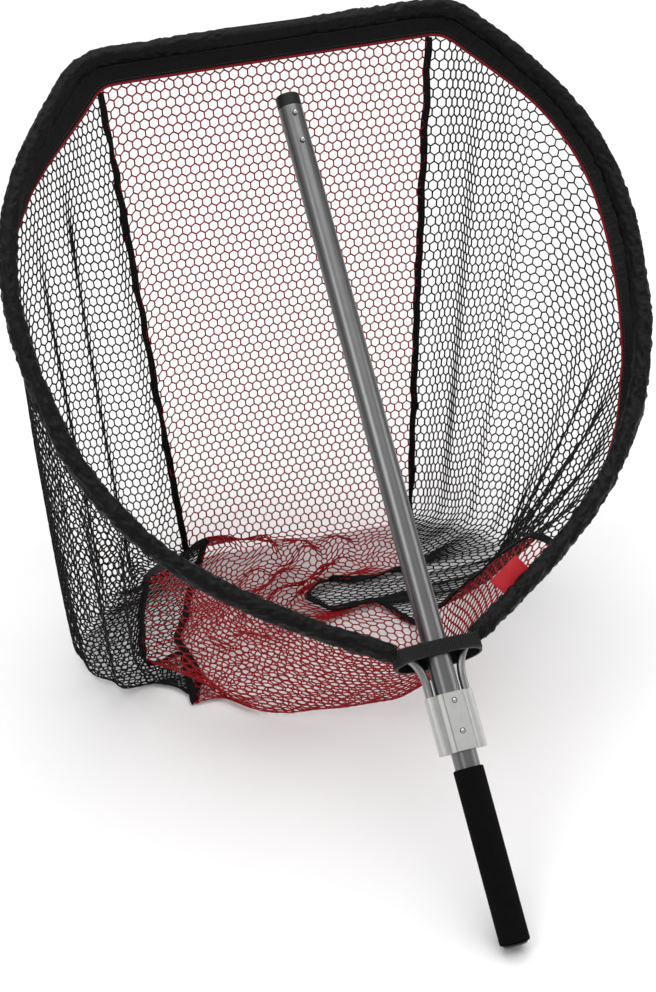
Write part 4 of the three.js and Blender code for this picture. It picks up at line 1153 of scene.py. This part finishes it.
class NETKIT_OT_drape(bpy.types.Operator):
    """Hangs the sewn bag from the hoop and lets it settle on the ground"""
    bl_idname = "netkit.drape"
    bl_label = "Drape the bag"

    def execute(self, context):
        rims = bag_rim()
        left = resampled(np.array(LEFT_SEAM_LIES), SIDE_CELLS + 1)
        right = resampled(np.array(RIGHT_SEAM_LIES), SIDE_CELLS + 1)
        hanging = [resampled(np.array([rims["front"][end], *inner, edge[0]]), DOWN_CELLS + 1)
                   for end, inner, edge in ((0, LEFT_SEAM_HANGS, left), (-1, RIGHT_SEAM_HANGS, right))]
        laid = laid_bag(rims, left, right, hanging)
        points, grids = weld(*laid)
        cut, _ = weld(*cut_bag(*laid, context.scene.landing_net_sizes.fullness))
        faces = np.concatenate([quads(grids[name]) for name in ("left", "back", "right")]
                               + [quads(grids["front"])[:, ::-1], quads(grids["floor"])])
        # Held: the rim, and the two bound seams up to the arms, whose tape is stiff enough to stay as laid.
        held = np.unique(np.concatenate([grids[name][0] for name in rims] + [
            grids["floor"][:, 0], grids["floor"][:, -1], grids["front"][:, 0], grids["front"][:, -1]]))
        points = run_cloth(points, cut, faces, held)
        points = eased(points, grids)
        points[:, 2] = np.maximum(points[:, 2], LOWEST_SETTLED)
        if not np.isfinite(points).all():
            raise RuntimeError("the bag didn't settle")
        draped.update(cut=cut, points=points, grids=grids)
        return {"FINISHED"}


def carried(edge, near, allowance):
    """The points that far beyond an edge, straight on from the ones next to it."""
    step = edge - near
    size = np.maximum(np.linalg.norm(step, axis=-1, keepdims=True), 1e-9)
    return edge + step / size * allowance


def hemmed(edge, near):
    """An end row's hem: straight on in the flat cut, and up behind the skirt, away from the mouth, on the bag."""
    if edge.shape[-1] == 2:
        return carried(edge, near, HEM_ALLOWANCE)[None]
    nearest = [int(np.argmin(np.linalg.norm(RIM_LINE - point, axis=1))) for point in edge]
    return (edge + (HEM_LINE - RIM_LINE)[nearest])[None]


def padded_out(grid_points, ends):
    """Adds what is sewn in: a column under each binding, and a row up inside the skirt where an end has one."""
    grid_points = np.concatenate([carried(grid_points[:, 0], grid_points[:, 1], SEAM_ALLOWANCE)[:, None], grid_points,
                                  carried(grid_points[:, -1], grid_points[:, -2], SEAM_ALLOWANCE)[:, None]], axis=1)
    rows = [hemmed(grid_points[0], grid_points[1]), grid_points]
    if ends == 2:
        rows.append(hemmed(grid_points[-1], grid_points[-2]))
    return np.concatenate(rows)


def cloth_surface(name, grid_points, flat, ends):
    """A panel's settled surface with its flat cut as its map."""
    grid_points, flat = padded_out(grid_points, ends), padded_out(flat, ends)
    rows, columns = grid_points.shape[:2]
    index = np.arange(rows * columns).reshape(rows, columns)
    faces = quads(index)
    mesh = bpy.data.meshes.new(name)
    mesh.from_pydata(grid_points.reshape(-1, 3).tolist(), [], faces.tolist())
    layer = mesh.uv_layers.new(name="Cloth")
    layer.data.foreach_set("uv", flat.reshape(-1, 2)[faces.ravel()].astype(np.float32).ravel())
    made = link(name, mesh)
    smooth = made.modifiers.new("Smooth", "SUBSURF")
    smooth.levels = smooth.render_levels = 1
    return made


def flat_of(cut):
    """The flat cut of a panel, from its sewn grid: each row level, at its own width and the panel's mean depth."""
    share = np.linspace(-0.5, 0.5, cut.shape[1])
    depth = np.concatenate([[0], np.cumsum(np.linalg.norm(np.diff(cut, axis=0), axis=2).mean(axis=1))])
    return np.stack([share[None] * row_lengths(cut)[:, None], np.broadcast_to(depth[:, None], cut.shape[:2])], axis=2)


def flat_side(cut):
    """The flat cut of a side panel: upright columns as far apart as they hang, under a rim that slants."""
    fullest = cut[int(0.4 * len(cut)), :, :2]
    across = gone_along(fullest)
    steps = np.linalg.norm(np.diff(cut, axis=0), axis=2)
    down = np.concatenate([np.zeros((1, cut.shape[1])), np.cumsum(steps, axis=0)])
    start = cut[0, :, 2].max() - cut[0, :, 2]
    return np.stack([np.broadcast_to(across, down.shape), start[None] + down], axis=2)


def area_of(grid_points):
    """The area of a grid of points, flat or not."""
    if grid_points.shape[2] == 2:
        grid_points = np.concatenate([grid_points, np.zeros((*grid_points.shape[:2], 1))], axis=2)
    a, b, c, d = grid_points[:-1, :-1], grid_points[1:, :-1], grid_points[1:, 1:], grid_points[:-1, 1:]
    return float(sum(np.linalg.norm(np.cross(q - p, r - p), axis=2).sum() / 2 for p, q, r in ((a, b, c), (a, c, d))))


class NETKIT_OT_netting(bpy.types.Operator):
    """The six-sided netting: a red band over the back, floor and front, and two black sides"""
    bl_idname = "netkit.netting"
    bl_label = "Netting"

    def execute(self, context):
        if not draped:
            raise RuntimeError("drape the bag first")
        sizes = context.scene.landing_net_sizes
        grids = draped["grids"]
        band = np.concatenate([grids["back"], grids["floor"][::-1][1:], grids["front"][::-1][1:]])
        panels = [("netting_red_band", band, "red_netting", ["net_back_panel", "net_base_panel", "net_front_panel"]),
                  ("netting_left_side", grids["left"], "black_netting", ["net_left_panel"]),
                  ("netting_right_side", grids["right"], "black_netting", ["net_right_panel"])]
        tree = netting_tree()
        for name, grid, slot, nodes in panels:
            flat = (flat_of if grid is band else flat_side)(draped["cut"][grid])
            area = area_of(draped["cut"][grid])
            flat = flat * math.sqrt(area / area_of(flat))       # laid flat, the cut has the area that is sewn
            surface = cloth_surface(name + "_surface", draped["points"][grid], flat,
                                    2 if grid is band else 1)
            low, high = flat.reshape(-1, 2).min(0) - MAP_MARGIN, flat.reshape(-1, 2).max(0) + MAP_MARGIN
            wide, long = high - low
            made = grown(path_object(name + "_start", [[(0, 0, 0)]]), tree, name, {
                "Surface": surface, "Cell": sizes.cell, "Row": sizes.row, "Yarn": sizes.yarn,
                "Columns": int(wide / sizes.cell) + 2, "Rows": int(long / sizes.row) + 2,
                "Start": (float(low[0]), float(low[1]), 0.0), "Material": material_for(slot)})
            made.data.polygons.foreach_set("use_smooth", [True] * len(made.data.polygons))
            remove(surface)
            finished(made, slot, "head", nodes)
            draped[name] = {"piece": made, "area": area, "settled": area_of(draped["points"][grid]) / area,
                            "flat": (float(wide - 2 * MAP_MARGIN), float(long - 2 * MAP_MARGIN))}
            print("%s: flat %.3f x %.3f m, %.4f m2, settled %.3f of it" % (
                name, *draped[name]["flat"], area, draped[name]["settled"]))
        return {"FINISHED"}


def smooth_path(points, spacing):
    """A run of points smoothed a little and evenly spaced."""
    points = np.asarray(points, float).copy()
    for _ in range(2):
        points[1:-1] = 0.25 * points[:-2] + 0.5 * points[1:-1] + 0.25 * points[2:]
    long = np.linalg.norm(np.diff(points, axis=0), axis=1).sum()
    return resampled(points, max(8, int(long / spacing)))


class NETKIT_OT_bindings(bpy.types.Operator):
    """The folded black tape on the two long seams of the bag"""
    bl_idname = "netkit.bindings"
    bl_label = "Seam bindings"

    def execute(self, context):
        sizes = context.scene.landing_net_sizes
        grids, points = draped["grids"], draped["points"]
        for side in ("left", "right"):
            front, back = (0, -1) if side == "left" else (-1, 0)
            floor_side = grids["floor"][:, 0 if side == "left" else -1]
            wall = grids[side]
            line = np.concatenate([wall[:, front], floor_side[1:-1], wall[::-1, back]])
            centre = smooth_path(points[line], 0.004)
            run = np.gradient(centre, axis=0)
            run = units(run)
            inner = np.concatenate([grids["front"][:, 1 if side == "left" else -2],
                                    grids["floor"][1:-1, 1 if side == "left" else -2],
                                    grids["back"][::-1, 1 if side == "left" else -2]])
            outer = np.concatenate([wall[:, 1 if front == 0 else -2], wall[-2, ::1 if side == "left" else -1][1:-1],
                                    wall[::-1, -2 if side == "left" else 1]])
            spread = points[inner] - points[outer]
            spread = np.stack([np.interp(np.linspace(0, 1, len(centre)), np.linspace(0, 1, len(spread)), spread[:, k])
                               for k in range(3)], axis=1)
            for _ in range(12):
                spread[1:-1] = (spread[:-2] + spread[1:-1] + spread[2:]) / 3
            across = spread - (spread * run).sum(1)[:, None] * run
            across = units(across)
            square = np.cross(run, across)
            seed = 4.0 if side == "left" else 9.0
            places = np.arange(len(centre))
            roll, sway, lift = (wander(places * step, seed, k)[:, None]
                                for step, k in ((0.07, 0.0), (0.10, 3.0), (0.13, 6.0)))
            roll = 1.3 * roll
            across, square = (np.cos(roll) * across + np.sin(roll) * square,
                              np.cos(roll) * square - np.sin(roll) * across)
            ease = np.minimum(1, np.minimum(np.arange(len(centre)), np.arange(len(centre))[::-1]) / 8)[:, None]
            centre = centre + ease * (0.0032 * sway * across + 0.0024 * lift * square)
            angles = np.linspace(0, 2 * math.pi, 14, endpoint=False)
            half_wide, half_thick = sizes.binding / 2, 0.0014
            wide = half_wide * (1 + 0.10 * wander(places * 0.11, 4.0, 0.0))
            flat_section = np.stack([np.sign(np.cos(angles)) * np.abs(np.cos(angles)) ** 0.45,
                                     np.sign(np.sin(angles)) * np.abs(np.sin(angles)) ** 0.45], axis=1)
            rings = (centre[:, None] + wide[:, None, None] * flat_section[None, :, 0:1] * across[:, None]
                     + half_thick * flat_section[None, :, 1:2] * square[:, None])
            rings[..., 2] = np.maximum(rings[..., 2], 0.0004)
            made = ring_mesh(f"seam_binding_{side}", rings, 60)
            finished(made, "seam_binding", "head", [f"seam_tape_{side}"])
        return {"FINISHED"}


# ---------------------------------------------------------------- operator: stage

def aimed(name, data, place, direction):
    """A lamp or camera at a place, looking along a direction."""
    made = link(name, data)
    made.location = place
    made.rotation_euler = Vector(direction).to_track_quat("-Z", "Y").to_euler()
    return made


class NETKIT_OT_stage(bpy.types.Operator):
    """Pale floor, soft studio light and the camera"""
    bl_idname = "netkit.stage"
    bl_label = "Stage"

    def execute(self, context):
        scene = context.scene
        scene.view_settings.view_transform = "Standard"
        bpy.ops.mesh.primitive_plane_add(size=24)
        floor = context.object
        floor.name = "studio_floor"
        # Matt white paper sweep, with the least tooth.
        made, tree, bsdf = new_material("paper_matt_white", Roughness=0.95)
        painted(tree, bsdf, object_noise(tree, 300, 2), linear("#F3F2F2"), linear("#F7F7F7"))
        floor.data.materials.append(made)

        world = bpy.data.worlds.new("studio")
        world.use_nodes = True
        world.node_tree.nodes["Background"].inputs["Color"].default_value = linear("#F7F7F7")
        world.node_tree.nodes["Background"].inputs["Strength"].default_value = 0.52
        scene.world = world

        def softbox(name, place, target, size, power):
            light = bpy.data.lights.new(name, "AREA")
            light.shape, light.size, light.size_y, light.energy = "RECTANGLE", size[0], size[1], power
            aimed(name, light, place, Vector(target) - Vector(place))

        # A broad ceiling bank, far enough off to light the whole floor evenly.
        bank = bpy.data.lights.new("ceiling bank", "SUN")
        bank.energy, bank.angle = 2.15, math.radians(75)
        aimed("ceiling bank", bank, (0, 0, 0), (-0.10, -0.22, -1.0))
        softbox("key", (-1.9, -0.9, 2.3), (0, 0.05, 0.3), (1.0, 1.4), 14)
        softbox("edge", (2.2, -0.6, 1.3), (0, -0.1, 0.3), (0.5, 1.6), 7)

        camera = bpy.data.cameras.new("camera")
        camera.lens, camera.sensor_width = 76.2, 36
        scene.camera = aimed("camera", camera, (-0.7125, -1.8407, 1.8693), (0.2587, 0.7459, -0.6138))
        return {"FINISHED"}


# ---------------------------------------------------------------- add-on

OPERATORS = (
    NETKIT_OT_stage, NETKIT_OT_hard_parts, NETKIT_OT_hoop_tube, NETKIT_OT_collar_ribs, NETKIT_OT_sleeve,
    NETKIT_OT_skirt, NETKIT_OT_tag, NETKIT_OT_drape, NETKIT_OT_netting, NETKIT_OT_bindings,
)


class NETKIT_PT_panel(bpy.types.Panel):
    """Lists the net's sizes, colours and steps"""
    bl_idname = "NETKIT_PT_panel"
    bl_label = "Landing net"
    bl_space_type = "VIEW_3D"
    bl_region_type = "UI"
    bl_category = "Landing net"

    def draw(self, context):
        layout = self.layout
        for group in (context.scene.landing_net_sizes, context.scene.landing_net_colours):
            for name in group.__annotations__:
                layout.prop(group, name)
        for operator in OPERATORS:
            layout.operator(operator.bl_idname)


CLASSES = (NetSizes, NetColours, *OPERATORS, NETKIT_PT_panel)


def register():
    for cls in CLASSES:
        bpy.utils.register_class(cls)
    bpy.types.Scene.landing_net_sizes = bpy.props.PointerProperty(type=NetSizes)
    bpy.types.Scene.landing_net_colours = bpy.props.PointerProperty(type=NetColours)


def unregister():
    del bpy.types.Scene.landing_net_sizes
    del bpy.types.Scene.landing_net_colours
    for cls in reversed(CLASSES):
        bpy.utils.unregister_class(cls)


def main():
    register()
    for operator in OPERATORS:
        group, name = operator.bl_idname.split(".")
        getattr(getattr(bpy.ops, group), name)()


if __name__ == "__main__":
    main()
